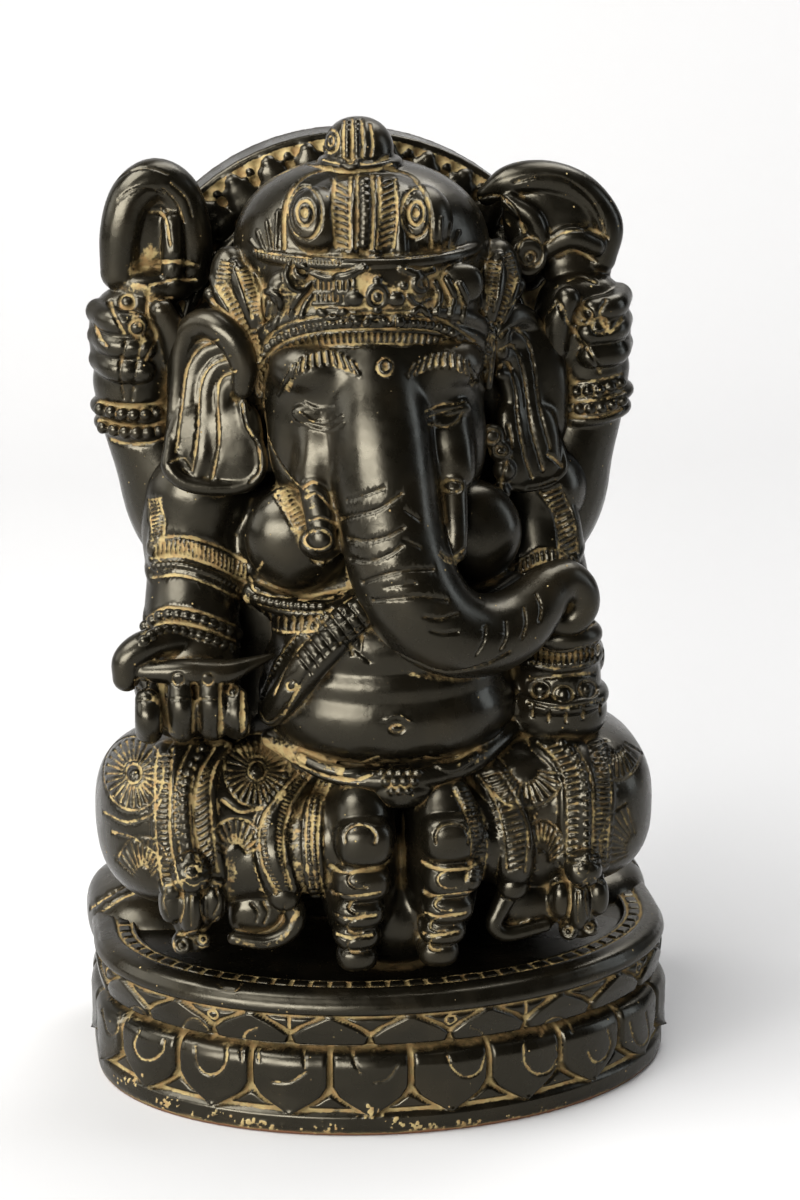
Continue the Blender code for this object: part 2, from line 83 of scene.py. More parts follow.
# The stone: a cast body under black wax, worn to a satin shine, with ochre clay left in every
# hollow. A "clay" attribute says where the clay lies thick, and closeness adds the rest.
stone = bpy.data.materials.new("black_stone")
stone.use_nodes = True
nodes, wires = stone.node_tree.nodes, stone.node_tree.links
shader = nodes["Principled BSDF"]


def node(kind, **settings):
    made = nodes.new("ShaderNode" + kind)
    for name, value in settings.items():
        setattr(made, name, value)
    return made


def feed(socket, source):
    if isinstance(source, (int, float)):
        socket.default_value = source
    else:
        wires.new(source, socket)


def combine(first, second, operation="ADD"):
    """Two values or sockets put together by a Math node."""
    made = node("Math", operation=operation)
    feed(made.inputs[0], first)
    feed(made.inputs[1], second)
    return made.outputs[0]


def swing(source, amount):
    """A noise made to swing about zero, by half the amount either way."""
    return combine(combine(source, -0.5), amount, "MULTIPLY")


def ramp_of(source, low, high, to_low=0.0, to_high=1.0):
    made = node("MapRange", interpolation_type="SMOOTHSTEP")
    feed(made.inputs["Value"], source)
    feed(made.inputs["From Min"], low)
    feed(made.inputs["From Max"], high)
    feed(made.inputs["To Min"], to_low)
    feed(made.inputs["To Max"], to_high)
    return made.outputs["Result"]


place = node("TexCoord").outputs["Object"]


def noise(scale, detail=3.0, rough=0.55):
    made = node("TexNoise")
    feed(made.inputs["Vector"], place)
    made.inputs["Scale"].default_value = scale
    made.inputs["Detail"].default_value = detail
    made.inputs["Roughness"].default_value = rough
    return made.outputs["Fac"]


def blend_of(amount, first, second):
    made = node("Mix", data_type="RGBA")
    feed(made.inputs["Factor"], amount)
    for socket, colour in ((made.inputs[6], first), (made.inputs[7], second)):
        if isinstance(colour, tuple):
            socket.default_value = (*colour, 1.0)
        else:
            wires.new(colour, socket)
    return made.outputs[2]


BLACK_WAX = (0.0052, 0.0044, 0.0028)
BROWN_WAX = (0.0125, 0.0098, 0.0058)
RAW_CAST = (0.14, 0.062, 0.034)
PALE_CLAY = (0.27, 0.215, 0.105)
# The clay colour of the deepest hollows is a painted shade.
SHADED_CLAY = (0.10, 0.073, 0.032)
RED_CLAY = (0.20, 0.13, 0.058)
CLOSE_BY = 3.2 * MM
OPEN_STONE, DEEP_HOLLOW = 0.70, 0.30
CLAY_STARTS, CLAY_COVERS = 0.36, 0.58
PINHOLE_CELLS = 520.0
RAW_FOOT_TOP = 1.1 * MM
BUMP_DEPTH = 0.25 * MM

closeness = node("AmbientOcclusion", samples=4)
closeness.inputs["Distance"].default_value = CLOSE_BY
hollow = ramp_of(closeness.outputs["AO"], OPEN_STONE, DEEP_HOLLOW)
thick = node("Attribute", attribute_name="clay").outputs["Fac"]
cloud = noise(95.0, 3.0)
grit = noise(1100.0, 2.0)
reach = combine(thick, combine(hollow, 0.62, "MULTIPLY"))
reach = combine(reach, swing(cloud, 0.55))
reach = combine(reach, swing(noise(300.0, 2.0), 0.85))
reach = combine(reach, swing(grit, 0.5))
clay = ramp_of(reach, CLAY_STARTS, CLAY_COVERS)

cells = node("TexVoronoi", feature="F1")
feed(cells.inputs["Vector"], place)
cells.inputs["Scale"].default_value = PINHOLE_CELLS
chance = node("SeparateColor")
wires.new(cells.outputs["Color"], chance.inputs[0])
size = ramp_of(chance.outputs[0], 0.72, 1.0, 0.0, 0.15)
pinhole = ramp_of(combine(cells.outputs["Distance"], size, "SUBTRACT"), 0.02, -0.03)
pinhole = combine(pinhole, ramp_of(noise(24.0, 2.0), 0.44, 0.58), "MULTIPLY")

clay = combine(clay, pinhole, "MAXIMUM")
# Clay is painted darker where the hollow is deepest and paler where it is open: painted shade in the
# deep hollows.
clay_colour = blend_of(ramp_of(closeness.outputs["AO"], 0.25, 0.75), SHADED_CLAY, PALE_CLAY)
clay_colour = blend_of(ramp_of(noise(420.0, 2.0), 0.35, 0.75), clay_colour, RED_CLAY)
wax_colour = blend_of(ramp_of(noise(60.0, 2.0), 0.45, 0.75), BLACK_WAX, BROWN_WAX)
stone_colour = blend_of(clay, wax_colour, clay_colour)
# The raw foot of the casting is reddish, and worn along its very edge.
split_place = node("SeparateXYZ")
wires.new(place, split_place.inputs[0])
foot = combine(split_place.outputs[2], swing(cloud, 2.0 * MM))
foot = ramp_of(foot, RAW_FOOT_TOP, 0.5 * MM)
wires.new(blend_of(foot, stone_colour, RAW_CAST), shader.inputs["Base Color"])
satin = ramp_of(noise(160.0, 3.0), 0.3, 0.7, 0.23, 0.34)
shine = combine(satin, combine(clay, 0.5, "MULTIPLY"))
wires.new(shine, shader.inputs["Roughness"])
shader.inputs["Specular IOR Level"].default_value = 0.5
shader.inputs["Specular Tint"].default_value = (1.0, 0.93, 0.75, 1.0)

bump = node("Bump")
bump.inputs["Strength"].default_value = 0.5
bump.inputs["Distance"].default_value = BUMP_DEPTH
height = combine(combine(noise(300.0, 3.0), 0.6, "MULTIPLY"), pinhole, "SUBTRACT")
height = combine(height, combine(combine(grit, clay, "MULTIPLY"), 0.6, "MULTIPLY"))
wires.new(height, bump.inputs["Height"])
wires.new(bump.outputs["Normal"], shader.inputs["Normal"])


# The lotus base, cast with the figure: a row of hanging petals, a groove, a row of lens-shaped
# petals, a smooth rolled rim and a notched border round the platform. Clay fills every gap.


def points_of(piece):
    found = np.empty(len(piece.data.vertices) * 3)
    piece.data.vertices.foreach_get("co", found)
    return found.reshape(-1, 3) / MM


def put_points(piece, points):
    piece.data.vertices.foreach_set("co", (points * MM).ravel())
    piece.data.update()


def normals_of(piece):
    found = np.empty(len(piece.data.vertices) * 3)
    piece.data.vertices.foreach_get("normal", found)
    return found.reshape(-1, 3)


def smooth_step(low, high, value):
    t = np.clip((value - low) / (high - low), 0, 1)
    return t * t * (3 - 2 * t)


def round_off(share):
    """A quarter round that climbs from 0 to 1."""
    return np.sqrt(1 - (1 - share) ** 2)


def through(rows, steps=6):
    """A smooth path through the rows, by Catmull-Rom."""
    rows = np.array(rows, float)
    rows = np.vstack([2 * rows[0] - rows[1], rows, 2 * rows[-1] - rows[-2]])
    path = []
    for i in range(1, len(rows) - 2):
        a, b, c, d = rows[i - 1 : i + 3]
        for t in np.arange(steps) / steps:
            square, cube = t * t, t * t * t
            path.append(0.5 * (2 * b + (c - a) * t + (2 * a - 5 * b + 4 * c - d) * square
                               + (3 * b - a - 3 * c + d) * cube))
    path.append(rows[-2])
    return np.array(path)


# Above this height, in mm, the casting leans to the viewer's left by so much for each mm up.
LEAN_FROM = 95.0
LEAN = 0.035
# A mark breaks off where it leaps further than JUMP mm, from one form to another. CLAY_LEFT is the
# share of the named clay that was left on the stone.
JUMP = 9.0
CLAY_LEFT = 0.62
SMEAR_DEPTH = 0.01


def mirrored(points):
    """The same points on the other side of the figure, with the lean of the casting kept."""
    lean = LEAN * np.clip(points[:, 2] - LEAN_FROM, 0, None)
    return np.column_stack([-(points[:, 0] + lean) - lean, points[:, 1], points[:, 2]])


def pixels_of(path):
    """The pixels of a path written as "x,y x,y", or the path itself."""
    if isinstance(path, str):
        return [tuple(map(int, pixel.split(","))) for pixel in path.split()]
    return path


def carve(piece, clay, *groups, both_sides=False):
    """Carves or raises marks in a piece. Each mark is (path, width, height, clay): the pixels of
    the photograph that it passes, its half width and its height in mm, less than 0 where it is
    cut in, and how much clay it holds, less than 0 where it stays free of it. A raised mark
    without clay is wiped clean on top."""
    points, normals = points_of(piece), normals_of(piece)
    tree = BVHTree.FromObject(piece, bpy.context.evaluated_depsgraph_get())
    raised, cut = np.zeros(len(points)), np.zeros(len(points))
    order = np.argsort(points[:, 2])
    heights = points[order, 2]
    for path, width, height, clay_there in itertools.chain(*groups):
        clay_there *= CLAY_LEFT
        pixels = pixels_of(path)
        if len(pixels) == 1:
            path = np.array(pixels, float)
        elif len(pixels) == 2:
            path = np.linspace(pixels[0], pixels[1], 8)
        else:
            path = through(pixels, 5)
        hits = [tree.ray_cast(eye * MM, sight(u, v))[0] for u, v in path]
        hits = np.array([hit for hit in hits if hit is not None]).reshape(-1, 3) / MM
        if not len(hits):
            continue
        if len(pixels) == 2 and pixels[0] == pixels[1]:
            hits = hits[:1]
        routes = [hits]
        if both_sides:
            other = mirrored(hits)
            other = [tree.find_nearest(Vector(point * MM))[0] for point in other]
            routes.append(np.array(other) / MM)
        for route in routes:
            low, high = route.min(axis=0) - 2 * width, route.max(axis=0) + 2 * width
            some = order[np.searchsorted(heights, low[2]):np.searchsorted(heights, high[2])]
            near = some[((points[some] > low) & (points[some] < high)).all(axis=1)]
            here = points[near]
            best = np.full(len(near), 1e9)
            if len(route) == 1:
                best = np.linalg.norm(here - route[0], axis=1)
            for a, b in zip(route[:-1], route[1:]):
                step = b - a
                if step @ step > JUMP ** 2 or step @ step < 1e-9:
                    continue
                along = np.clip((here - a) @ step / (step @ step), 0, 1)
                best = np.minimum(best, np.linalg.norm(here - a - along[:, None] * step, axis=1))
            share = np.sqrt(np.clip(1 - (best / width) ** 2, 0, 1))
            if height > 0:
                raised[near] = np.maximum(raised[near], height * share)
                if clay_there == 0:
                    clay[near] *= 1 - smooth_step(0.95, 0.6, best / width)
            else:
                cut[near] = np.minimum(cut[near], height * share)
            spread = clay_there * smooth_step(1.3, 0.6, best / width)
            if clay_there < 0:
                clay[near] = np.minimum(clay[near], spread)
            else:
                clay[near] = np.maximum(clay[near], spread)
    put_points(piece, points + normals * (raised + cut)[:, None])


def line(width, depth, clay, *paths):
    """Lines cut into the stone, or raised where the depth is below 0, with clay in them."""
    return [(path, width, -depth, clay) for path in paths]


def paint(piece, clay):
    """Writes how thick the clay lies on each point of a piece."""
    layer = piece.data.attributes.new("clay", "FLOAT", "POINT")
    layer.data.foreach_set("value", np.clip(clay, -1, 1).astype(np.float32))


def dress(piece):
    """Gives a finished piece its stone and its place in the object."""
    piece.data.materials.clear()
    piece.data.materials.append(stone)
    piece.data.shade_smooth()
    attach(piece, "root")
    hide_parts("ganesha_statue")


BASE_HALF_WIDTH = 76.0
BASE_HALF_DEPTH = 53.5
BACK_SQUARENESS = 4.0
PETALS = 21
RIM_TOP = 38.5
PLATFORM_TOP = 36.5
GROOVE_Z = 23.2
FRONT_SPACING = 0.44
BACK_SPACING = 0.80
PAD_LENGTH = 5.3
PETAL_EASE = 1.3


def base_outline():
    """Points of the outline with the outward direction and the share of the way round of each."""
    angle = np.linspace(-math.pi / 2, 1.5 * math.pi, 8001)
    power = np.where(np.sin(angle) > 0, BACK_SQUARENESS, 2.0)
    reach = (np.abs(np.cos(angle)) ** power + np.abs(np.sin(angle)) ** power) ** (-1 / power)
    edge_x = BASE_HALF_WIDTH * reach * np.cos(angle)
    edge_y = BASE_HALF_DEPTH * reach * np.sin(angle)
    edge = np.stack([edge_x, edge_y], 1)
    length = np.concatenate([[0], np.cumsum(np.hypot(*np.diff(edge, axis=0).T))])
    middle = (edge[1:] + edge[:-1]) / 2
    spacing = np.where(middle[:, 1] < 4.0, FRONT_SPACING, BACK_SPACING)
    columns = np.concatenate([[0], np.cumsum(np.diff(length) / spacing)])
    count = int(columns[-1])
    at = np.interp(np.arange(count) / count * columns[-1], columns, length)
    points, ahead, behind = (
        np.stack([np.interp((at + step) % length[-1], length, edge[:, i]) for i in (0, 1)], 1)
        for step in (0, 0.5, -0.5))
    along = ahead - behind
    out = np.stack([along[:, 1], -along[:, 0]], 1)
    out /= np.linalg.norm(out, axis=1, keepdims=True)
    return points, out, at, length[-1]


outline, outward, around, length_round = base_outline()
PITCH = length_round / PETALS

# The profile, from the edge of the underside up the side, over the rim and in to the platform.
side_rows = [(z, 0.0) for z in np.linspace(0.0, 35.5, 84)]
rim_roll = [(35.9, -0.05), (36.4, -0.2), (36.9, -0.5), (37.4, -1.0), (37.8, -1.7), (38.1, -2.5),
            (38.3, -3.4), (38.4, -4.2), (RIM_TOP, -5.0)]
border = [(RIM_TOP, -5.0 - 0.36 * i) for i in range(1, 14)]
ledge = [(38.3, -10.0), (37.8, -10.3), (37.2, -10.5), (36.7, -10.8)]
platform = [(PLATFORM_TOP, inward) for inward in (-11.4, -13.0, -18.0, -26.0)]
levels = np.array(side_rows + rim_roll + border + ledge + platform)
z_grid = np.repeat(levels[:, :1], len(outline), 1)
inset = np.repeat(levels[:, 1:], len(outline), 1)
round_grid = np.repeat(around[None, :], len(levels), 0)

PROFILE = (
    (0.0, -1.5), (0.8, -0.8), (2.2, -0.45), (5.2, -0.5), (6.2, -1.5), (7.0, -2.6), (11, -2.8),
    (19, -2.7), (21.6, -3.4), (GROOVE_Z, -6.0), (24.8, -3.6), (28.5, -2.8), (31.4, -2.6),
    (32.2, -2.5), (32.9, -1.1), (34.0, -0.45), (35.2, -0.7), (36.4, -1.25), (38.0, -1.0), (50, -0.7))
out_grid = np.interp(z_grid, *zip(*PROFILE)) + inset

# Hanging petals: straight sides, a rolled top and a pointed round foot.
low_across = np.abs((round_grid / PITCH) % 1.0 - 0.5) * PITCH
LOW_SHAPE = ((5.8, 6.7, 8.4, 10.6, 13.3, 17.5, 22.8), (-0.05, 0.22, 0.50, 0.80, 0.96, 0.97, 0.95))
low_half = np.interp(z_grid, *LOW_SHAPE) * PITCH / 2
low_steep = np.interp(z_grid, (7, 15), (0.62, 1.0))
low_edge = np.clip((low_half - low_across) * low_steep / PETAL_EASE, 0, 1)
low_top = np.clip((22.8 - z_grid) / 3.4, 0, 1)
low_rise = round_off(low_edge) * round_off(low_top) * (z_grid < 22.8)
low_rise *= 1 + 0.10 * np.cos(low_across / PITCH * 2 * math.pi)

# Lens petals, half a petal out of step, with a small bud in each clay triangle above their seams.
high_across = np.abs((round_grid / PITCH + 0.5) % 1.0 - 0.5) * PITCH
HIGH_SHAPE = ((23.6, 24.6, 26.9, 29.4, 32.1), (0.84, 0.94, 1.0, 0.70, 0.16))
high_half = np.interp(z_grid, *HIGH_SHAPE) * PITCH / 2
high_edge = np.clip((high_half - high_across) * 0.80 / PETAL_EASE, 0, 1)
high_foot = np.clip((z_grid - 23.5) / 1.5, 0, 1)
high_rise = round_off(high_edge) * round_off(high_foot) * (z_grid < 32.5)
bud = np.clip((high_across - high_half - 0.9) / 1.2, 0, 1)
bud *= np.clip((z_grid - 27.2) / 1.2, 0, 1) * np.clip((32.0 - z_grid) / 0.9, 0, 1)
dart = np.clip((low_across - low_half - 1.2) / 1.0, 0, 1)
dart *= np.clip((z_grid - 7.0) / 0.7, 0, 1) * np.clip((11.2 - z_grid) / 1.2, 0, 1)
LOW_HIGH, HIGH_HIGH, BUD_HIGH, DART_HIGH = 2.7, 1.9, 1.3, 1.2
BUD_CUT, BORDER_CUT = 0.5, 0.75
GAP_CLAY = 0.66
rise = LOW_HIGH * low_rise + HIGH_HIGH * high_rise
rise += BUD_HIGH * np.sqrt(bud) + DART_HIGH * np.sqrt(dart)
# Every third bud has a ring cut in it, and the next one a stem.
bud_turn = np.floor(round_grid / PITCH) % 3
bud_ring = np.abs(np.hypot(low_across, (z_grid - 30.3) * 1.2) - 1.35)
bud_cut = np.where(bud_turn == 0, smooth_step(0.5, 0.2, bud_ring), 0)
bud_cut = np.where(bud_turn == 1, smooth_step(0.6, 0.3, low_across) * (z_grid > 27.8), bud_cut)
bud_cut = bud_cut * (bud > 0.05) * (z_grid < 31.7)
rise -= BUD_CUT * bud_cut

# The border: low pads with clay between them, and a fine line along its inner edge.
pads = np.round(length_round / PAD_LENGTH)
pad_gap = (0.5 - np.abs((round_grid / length_round * pads) % 1.0 - 0.5)) * length_round / pads
across_border = np.abs(inset + 7.5)
groove_out = np.maximum(smooth_step(0.85, 0.35, pad_gap), smooth_step(1.25, 1.6, across_border))
border_cut = groove_out * smooth_step(2.35, 2.0, across_border)
border_cut = np.where((inset < -5.2) & (z_grid > 38.0), border_cut, 0)

flat_x = outline[None, :, 0] + outward[None, :, 0] * (out_grid + rise)
flat_y = outline[None, :, 1] + outward[None, :, 1] * (out_grid + rise)
height_grid = z_grid - BORDER_CUT * border_cut
rows, columns = z_grid.shape
mesh = bpy.data.meshes.new("lotus_base")
grid_points = np.stack([flat_x, flat_y, height_grid], -1).reshape(-1, 3)
grid_points = np.vstack([grid_points, [[0, 0, 0.0], [0, 0, PLATFORM_TOP]]])
corner = np.arange(rows * columns).reshape(rows, columns)
following = np.roll(corner, -1, axis=1)
quads = np.stack([corner[:-1], following[:-1], following[1:], corner[1:]], -1).reshape(-1, 4)
under, over = rows * columns, rows * columns + 1
faces = quads.tolist()
faces += [(following[0, j], corner[0, j], under) for j in range(columns)]
faces += [(corner[-1, j], following[-1, j], over) for j in range(columns)]
mesh.from_pydata(grid_points * MM, [], faces)
base = bpy.data.objects.new("lotus_base", mesh)
bpy.context.scene.collection.objects.link(base)

clay_grid = np.zeros_like(z_grid)
petal_zone = smooth_step(5.9, 6.5, z_grid) * smooth_step(23.8, 23.0, z_grid)
clay_grid += GAP_CLAY * petal_zone * smooth_step(0.30, 0.05, low_edge) * (dart < 0.12)
upper_zone = smooth_step(22.6, 23.2, z_grid) * smooth_step(32.7, 32.1, z_grid)
clay_grid += 0.8 * bud_cut
clay_grid += GAP_CLAY * upper_zone * smooth_step(0.30, 0.05, high_edge) * (bud < 0.12)
clay_grid += 0.75 * border_cut
clay_grid += 0.55 * smooth_step(1.6, 0.2, z_grid)
clay_grid = np.concatenate([clay_grid.ravel(), [0, 0]])

carve(
    base, clay_grid,
    # Rounds cut in the hanging petals, from the viewer's left.
    line(0.44, 0.5, 0.9, "139,1030 134,1045 140,1058 152,1060 162,1052 164,1040",
        "195,1046 196,1062 204,1073 216,1074 225,1064 227,1046"),
    line(0.4, 0.4, 0.8, "272,1082 290,1082 306,1072", "241,1048 242,1062", "258,1050 259,1062",
        "304,1050 305,1068"),
    line(0.4, 0.4, 0.7, "352,1050 355,1063 360,1073"),
    line(0.36, 0.35, 0.5, "374,1083 388,1079 397,1066"),
    line(0.4, 0.45, 0.8, "447,1056 453,1069 465,1077 479,1072 486,1054"),
    line(0.44, 0.5, 0.9, "524,1046 525,1063 536,1074 550,1071 558,1057 557,1046"),
    line(0.4, 0.45, 0.8, "588,1052 594,1062 604,1059 611,1045 608,1030",
        "630,1022 634,1038 642,1046 649,1035 646,1012"),
    line(0.4, 0.45, 0.5, "102,1010 108,1034 118,1030 120,1012"),
    # Curls cut in the lens petals.
    line(0.44, 0.45, 0.8, "180,1036 186,1022 196,1019 206,1028 215,1040"),
    line(0.4, 0.45, 0.7, "128,1020 132,1008 141,1010 153,1024"),
    line(0.4, 0.4, 0.8, "244,1042 246,1033 257,1028"),
    line(0.4, 0.45, 0.8, "541,1036 545,1024 557,1018 568,1023 573,1032"),
    line(0.4, 0.4, 0.7, "470,1028 482,1033 484,1042"),
    line(0.36, 0.4, 0.6, "606,1013 615,1008 621,1014"),
    line(0.4, 0.4, 0.8, "218,983 224,989 236,990 242,983"))
# Crusts of clay that cling to the foot, each a scatter of small lumps.
BASE_CRUSTS = ("135,1080 170,1101 215,1116 250,1124 272,1127 330,1128 372,1112 404,1123 "
               "432,1128 470,1126 520,1120 545,1114 575,1110 600,1098")
LUMPS = 16
crusts = []
scatter = np.random.default_rng(7)
for u, v in pixels_of(BASE_CRUSTS):
    for lump in range(LUMPS):
        along, upward = scatter.normal(0, 1, 2) * (11.0, 3.4)
        crusts.append(([(u + along, v + upward)], scatter.uniform(0.3, 0.75), 0.2, 1.0))
carve(base, clay_grid, crusts)
paint(base, clay_grid)
dress(base)

# The step behind the figure and the plain swelling of its back. Like every piece above the base
# it starts as rounded forms, run together into one skin and leaned as the casting leans.
# In mm: the grid of the skin, and how deep a hollow is when it holds all the clay that it can.
SKIN = 0.45
HOLLOW_DEPTH = 0.32
forms = []


def make_active(*pieces):
    """Selects the pieces, and makes the first one the one that is worked on."""
    bpy.ops.object.select_all(action="DESELECT")
    for piece in pieces:
        piece.select_set(True)
    bpy.context.view_layer.objects.active = pieces[0]


def take_form():
    form = bpy.context.active_object
    forms.append(form)
    return form


def ball(centre, radii, turn=(0, 0, 0), power=2.0, segments=56, rings=36):
    """An ellipsoid, or with a higher power a fuller pillow. The turn is in degrees."""
    bpy.ops.mesh.primitive_uv_sphere_add(
        segments=segments, ring_count=rings, radius=1.0, location=np.array(centre) * MM,
        rotation=[math.radians(angle) for angle in turn])
    form = take_form()
    form.scale = np.array(radii) * MM
    if power != 2.0:
        points = points_of(form)
        points /= (np.abs(points) ** power).sum(axis=1, keepdims=True) ** (1 / power)
        points /= np.abs(points).max()
        form.data.vertices.foreach_set("co", points.ravel())
    return form


def apply_modifier(piece, kind, **settings):
    modifier = piece.modifiers.new(kind.lower(), kind)
    for name, value in settings.items():
        setattr(modifier, name, value)
    make_active(piece)
    bpy.ops.object.modifier_apply(modifier=modifier.name)


def soften(ease, skin=0.9):
    """Melts the forms made so far into one soft form, on which sharper ones can follow."""
    make_active(*forms)
    piece = forms[0]
    bpy.ops.object.join()
    bpy.ops.object.transform_apply(location=True, rotation=True, scale=True)
    apply_modifier(piece, "REMESH", mode="VOXEL", voxel_size=skin * MM, adaptivity=0.0)
    apply_modifier(piece, "SMOOTH", factor=0.5, iterations=ease)
    forms[:] = [piece]
    return piece


def run_together(name, skin=SKIN, ease=4):
    """Gives the forms made since the last piece one fine skin, and leans it."""
    piece = soften(ease, skin)
    forms.clear()
    piece.name = piece.data.name = name
    points = points_of(piece)
    points[:, 0] -= LEAN * np.clip(points[:, 2] - LEAN_FROM, 0, None)
    put_points(piece, points)
    return piece


def hollows_of(piece, rounds=14):
    """How far each point of a piece lies below its smoothed surface, in mm."""
    points = points_of(piece)
    count = len(points)
    edges = np.empty(len(piece.data.edges) * 2, np.int32)
    piece.data.edges.foreach_get("vertices", edges)
    a, b = edges[0::2], edges[1::2]
    both, other = np.concatenate([a, b]), np.concatenate([b, a])
    share = np.bincount(both, minlength=count).clip(1)
    soft = points.copy()
    for _ in range(rounds):
        for axis in range(3):
            near = np.bincount(both, weights=soft[other, axis], minlength=count) / share
            soft[:, axis] = 0.5 * soft[:, axis] + 0.5 * near
    return ((soft - points) * normals_of(piece)).sum(axis=1)


def complete(piece, clay, triangles, cling=0.5):
    """Adds the clay of the small hollows, thins the skin where it is plain, and dresses it."""
    clinging = cling * smooth_step(0.3, 1.0, hollows_of(piece) / HOLLOW_DEPTH)
    clay = np.where(clay < -0.05, clay, np.maximum(clay, clinging))
    # The clay is thinned towards the viewer's right so that side shows darker: painted shade on the
    # side turned from the light.
    paint(piece, clay * np.interp(points_of(piece)[:, 0], (5, 40), (1.0, 0.72)))
    apply_modifier(piece, "TRIANGULATE")
    count = len(piece.data.polygons)
    if count > triangles:
        apply_modifier(piece, "DECIMATE", ratio=triangles / count)
    dress(piece)


for side in (-1, 1):
    ball((side * 57.2, 27, 33), (18.8, 25, 11.5), power=2.5)
ball((0, 33, 37), (60, 19.5, 13), power=3.2)
ball((0, 14, 106), (50, 25, 62), power=2.4)
ball((0, 18, 166), (54, 15.5, 44), power=2.4)
back = run_together("seat_and_back", skin=0.8)
clay = np.zeros(len(back.data.vertices))
carve(
    back, clay,
    line(0.7, 0.7, 0.9, "90,908 112,893 142,878"), line(0.6, 0.6, 0.9, "96,915 118,900 142,889"),
    line(0.6, 0.6, 0.4, "626,856 641,869 656,892"))
complete(back, clay, 24000)


# The folded legs under their patterned cloth, with the two feet upright and sole to sole.
# Straps hang over each knee, a sash end loops below it, and a strip of hem runs beside the foot.
FORM_PIXEL = 0.262


def spot(u, v, depth, *sizes):
    """The point at a depth in the unleaned figure that the camera sees at a pixel, and its sizes."""
    way = sight(u, v)
    point = eye + way * ((depth - eye.y) / way.y)
    return (point.x + LEAN * max(point.z - LEAN_FROM, 0), depth, point.z, *sizes)


def limb(rows, steps=6):
    """A round bar along rows of x, y, z and radius, with a ball at each end."""
    path = through(rows, steps)
    curve = bpy.data.curves.new("limb", "CURVE")
    curve.dimensions = "3D"
    curve.bevel_depth = MM
    curve.bevel_resolution = 9
    curve.use_fill_caps = True
    spline = curve.splines.new("POLY")
    spline.points.add(len(path) - 1)
    for point, (x, y, z, radius) in zip(spline.points, path):
        point.co = (x * MM, y * MM, z * MM, 1.0)
        point.radius = radius
    form = bpy.data.objects.new("limb", curve)
    bpy.context.collection.objects.link(form)
    make_active(form)
    bpy.ops.object.convert(target="MESH")
    take_form()
    for x, y, z, radius in (path[0], path[-1]):
        ball((x, y, z), (radius, radius, radius), segments=32, rings=20)


def seen_limb(rows):
    """A bar along rows of the photograph's u and v, with depth and radius."""
    limb([spot(*row) for row in rows])


def seen_ball(u, v, depth, wide, thick, high, **settings):
    """A pillow at a pixel, with its width and height in pixels and its thickness in mm."""
    ball(spot(u, v, depth), (wide * FORM_PIXEL, thick, high * FORM_PIXEL), **settings)


def roll(width, height, *paths):
    """Rounded bands that stand up from the stone, wiped clean."""
    return [(path, width, height, 0.0) for path in paths]


def smear(width, clay, *paths):
    """Clay that lies on the stone, or below 0 a place rubbed free of it."""
    return [(path, width, -SMEAR_DEPTH, clay) for path in paths]


def spaced(path, count):
    """Evenly spaced pixels along a smooth path."""
    pixels = pixels_of(path)
    path = through(pixels, 10) if len(pixels) > 2 else np.linspace(pixels[0], pixels[1], 20)
    length = np.concatenate([[0], np.cumsum(np.hypot(*np.diff(path, axis=0).T))])
    at = np.linspace(0, length[-1], count)
    return np.stack([np.interp(at, length, path[:, i]) for i in (0, 1)], 1)


def beads(path, count, width, height):
    """A row of round beads along a path."""
    return roll(width, height, *([tuple(pixel)] for pixel in spaced(path, count)))


def ribs(first, second, count, width, height, clay=0.0):
    """Short ribs from one path across to another."""
    ends = zip(spaced(first, count), spaced(second, count))
    return [([tuple(a), tuple(b)], width, height, clay) for a, b in ends]


def ring(centre, radii, width=0.5, height=-0.45, clay=0.9, start=0, stop=360):
    """A round or part of one, seen at its centre with its half width and height in pixels."""
    turn = np.radians(np.linspace(start, stop, max(5, int(abs(stop - start) / 20))))
    path = [(centre[0] + radii[0] * math.cos(a), centre[1] - radii[1] * math.sin(a)) for a in turn]
    return [(path, width, height, clay)]


def rosette(centre, radii, rays, start=0, stop=360, hub=0.26):
    """A flower of narrow flutes round a button, cut lightly in the cloth."""
    marks = ring(centre, radii, 0.45, -0.4, 0.75, start, stop)
    for a in np.radians(np.linspace(start, stop, rays, endpoint=stop - start < 360)):
        way = np.array([math.cos(a) * radii[0], -math.sin(a) * radii[1]])
        ends = [tuple(np.array(centre) + way * share) for share in (hub + 0.10, 0.90)]
        marks.append((ends, 0.42, -0.5, 0.7))
    if stop - start >= 360:
        marks += ring(centre, (radii[0] * hub, radii[1] * hub), 0.5, -0.5, 0.9)
        marks.append(([centre], radii[0] * hub * PIXEL_SIZE * 0.75, 0.7, 0.0))
    return marks


ball((0, 12, 64), (56, 34, 26), power=2.4)
ball((0, -6, 92), (36, 28, 15))
for side in (-1, 1):
    middle = 46.2 if side < 0 else 40.0
    ball((side * middle, -9, 74), (28.6, 28.5, 22), power=2.7)
    ball((side * (middle - 3), 8, 62), (24, 26, 16), power=2.4)
    limb([(side * 18, -2, 84, 14), (side * 44, -8, 80, 16)])
    limb([(side * 42, -24, 66, 13), (side * 27, -30, 70, 12), (side * 16, -33, 74, 10)])
    ball((side * 10.4, -31, 67), (9.8, 13, 23), power=2.5)
    ball((side * 10.6, -36, 75), (8.6, 11, 15), power=2.3)
ball((0, -24, 50), (17, 16, 14))
soften(10)

# Each toe: half width from the middle on the viewer's left and right, depth, height, and its radii.
TOES = (
    (10.6, 10.7, -44, 77, 7.4, 7.2, 6.6),
    (11.4, 11, -44.6, 66.6, 7.2, 6.7, 5),
    (12, 10.4, -44.2, 58.6, 6.6, 6.2, 4.3),
    (12.4, 9.2, -43.3, 51.9, 6, 5.6, 3.8),
    (12.2, 8.4, -42, 45.4, 5.2, 5, 3.8),
)
for side in (-1, 1):
    for left, right, y, z, wide, deep, high in TOES:
        ball((-left if side < 0 else right, y, z), (wide, deep, high), power=2.6)

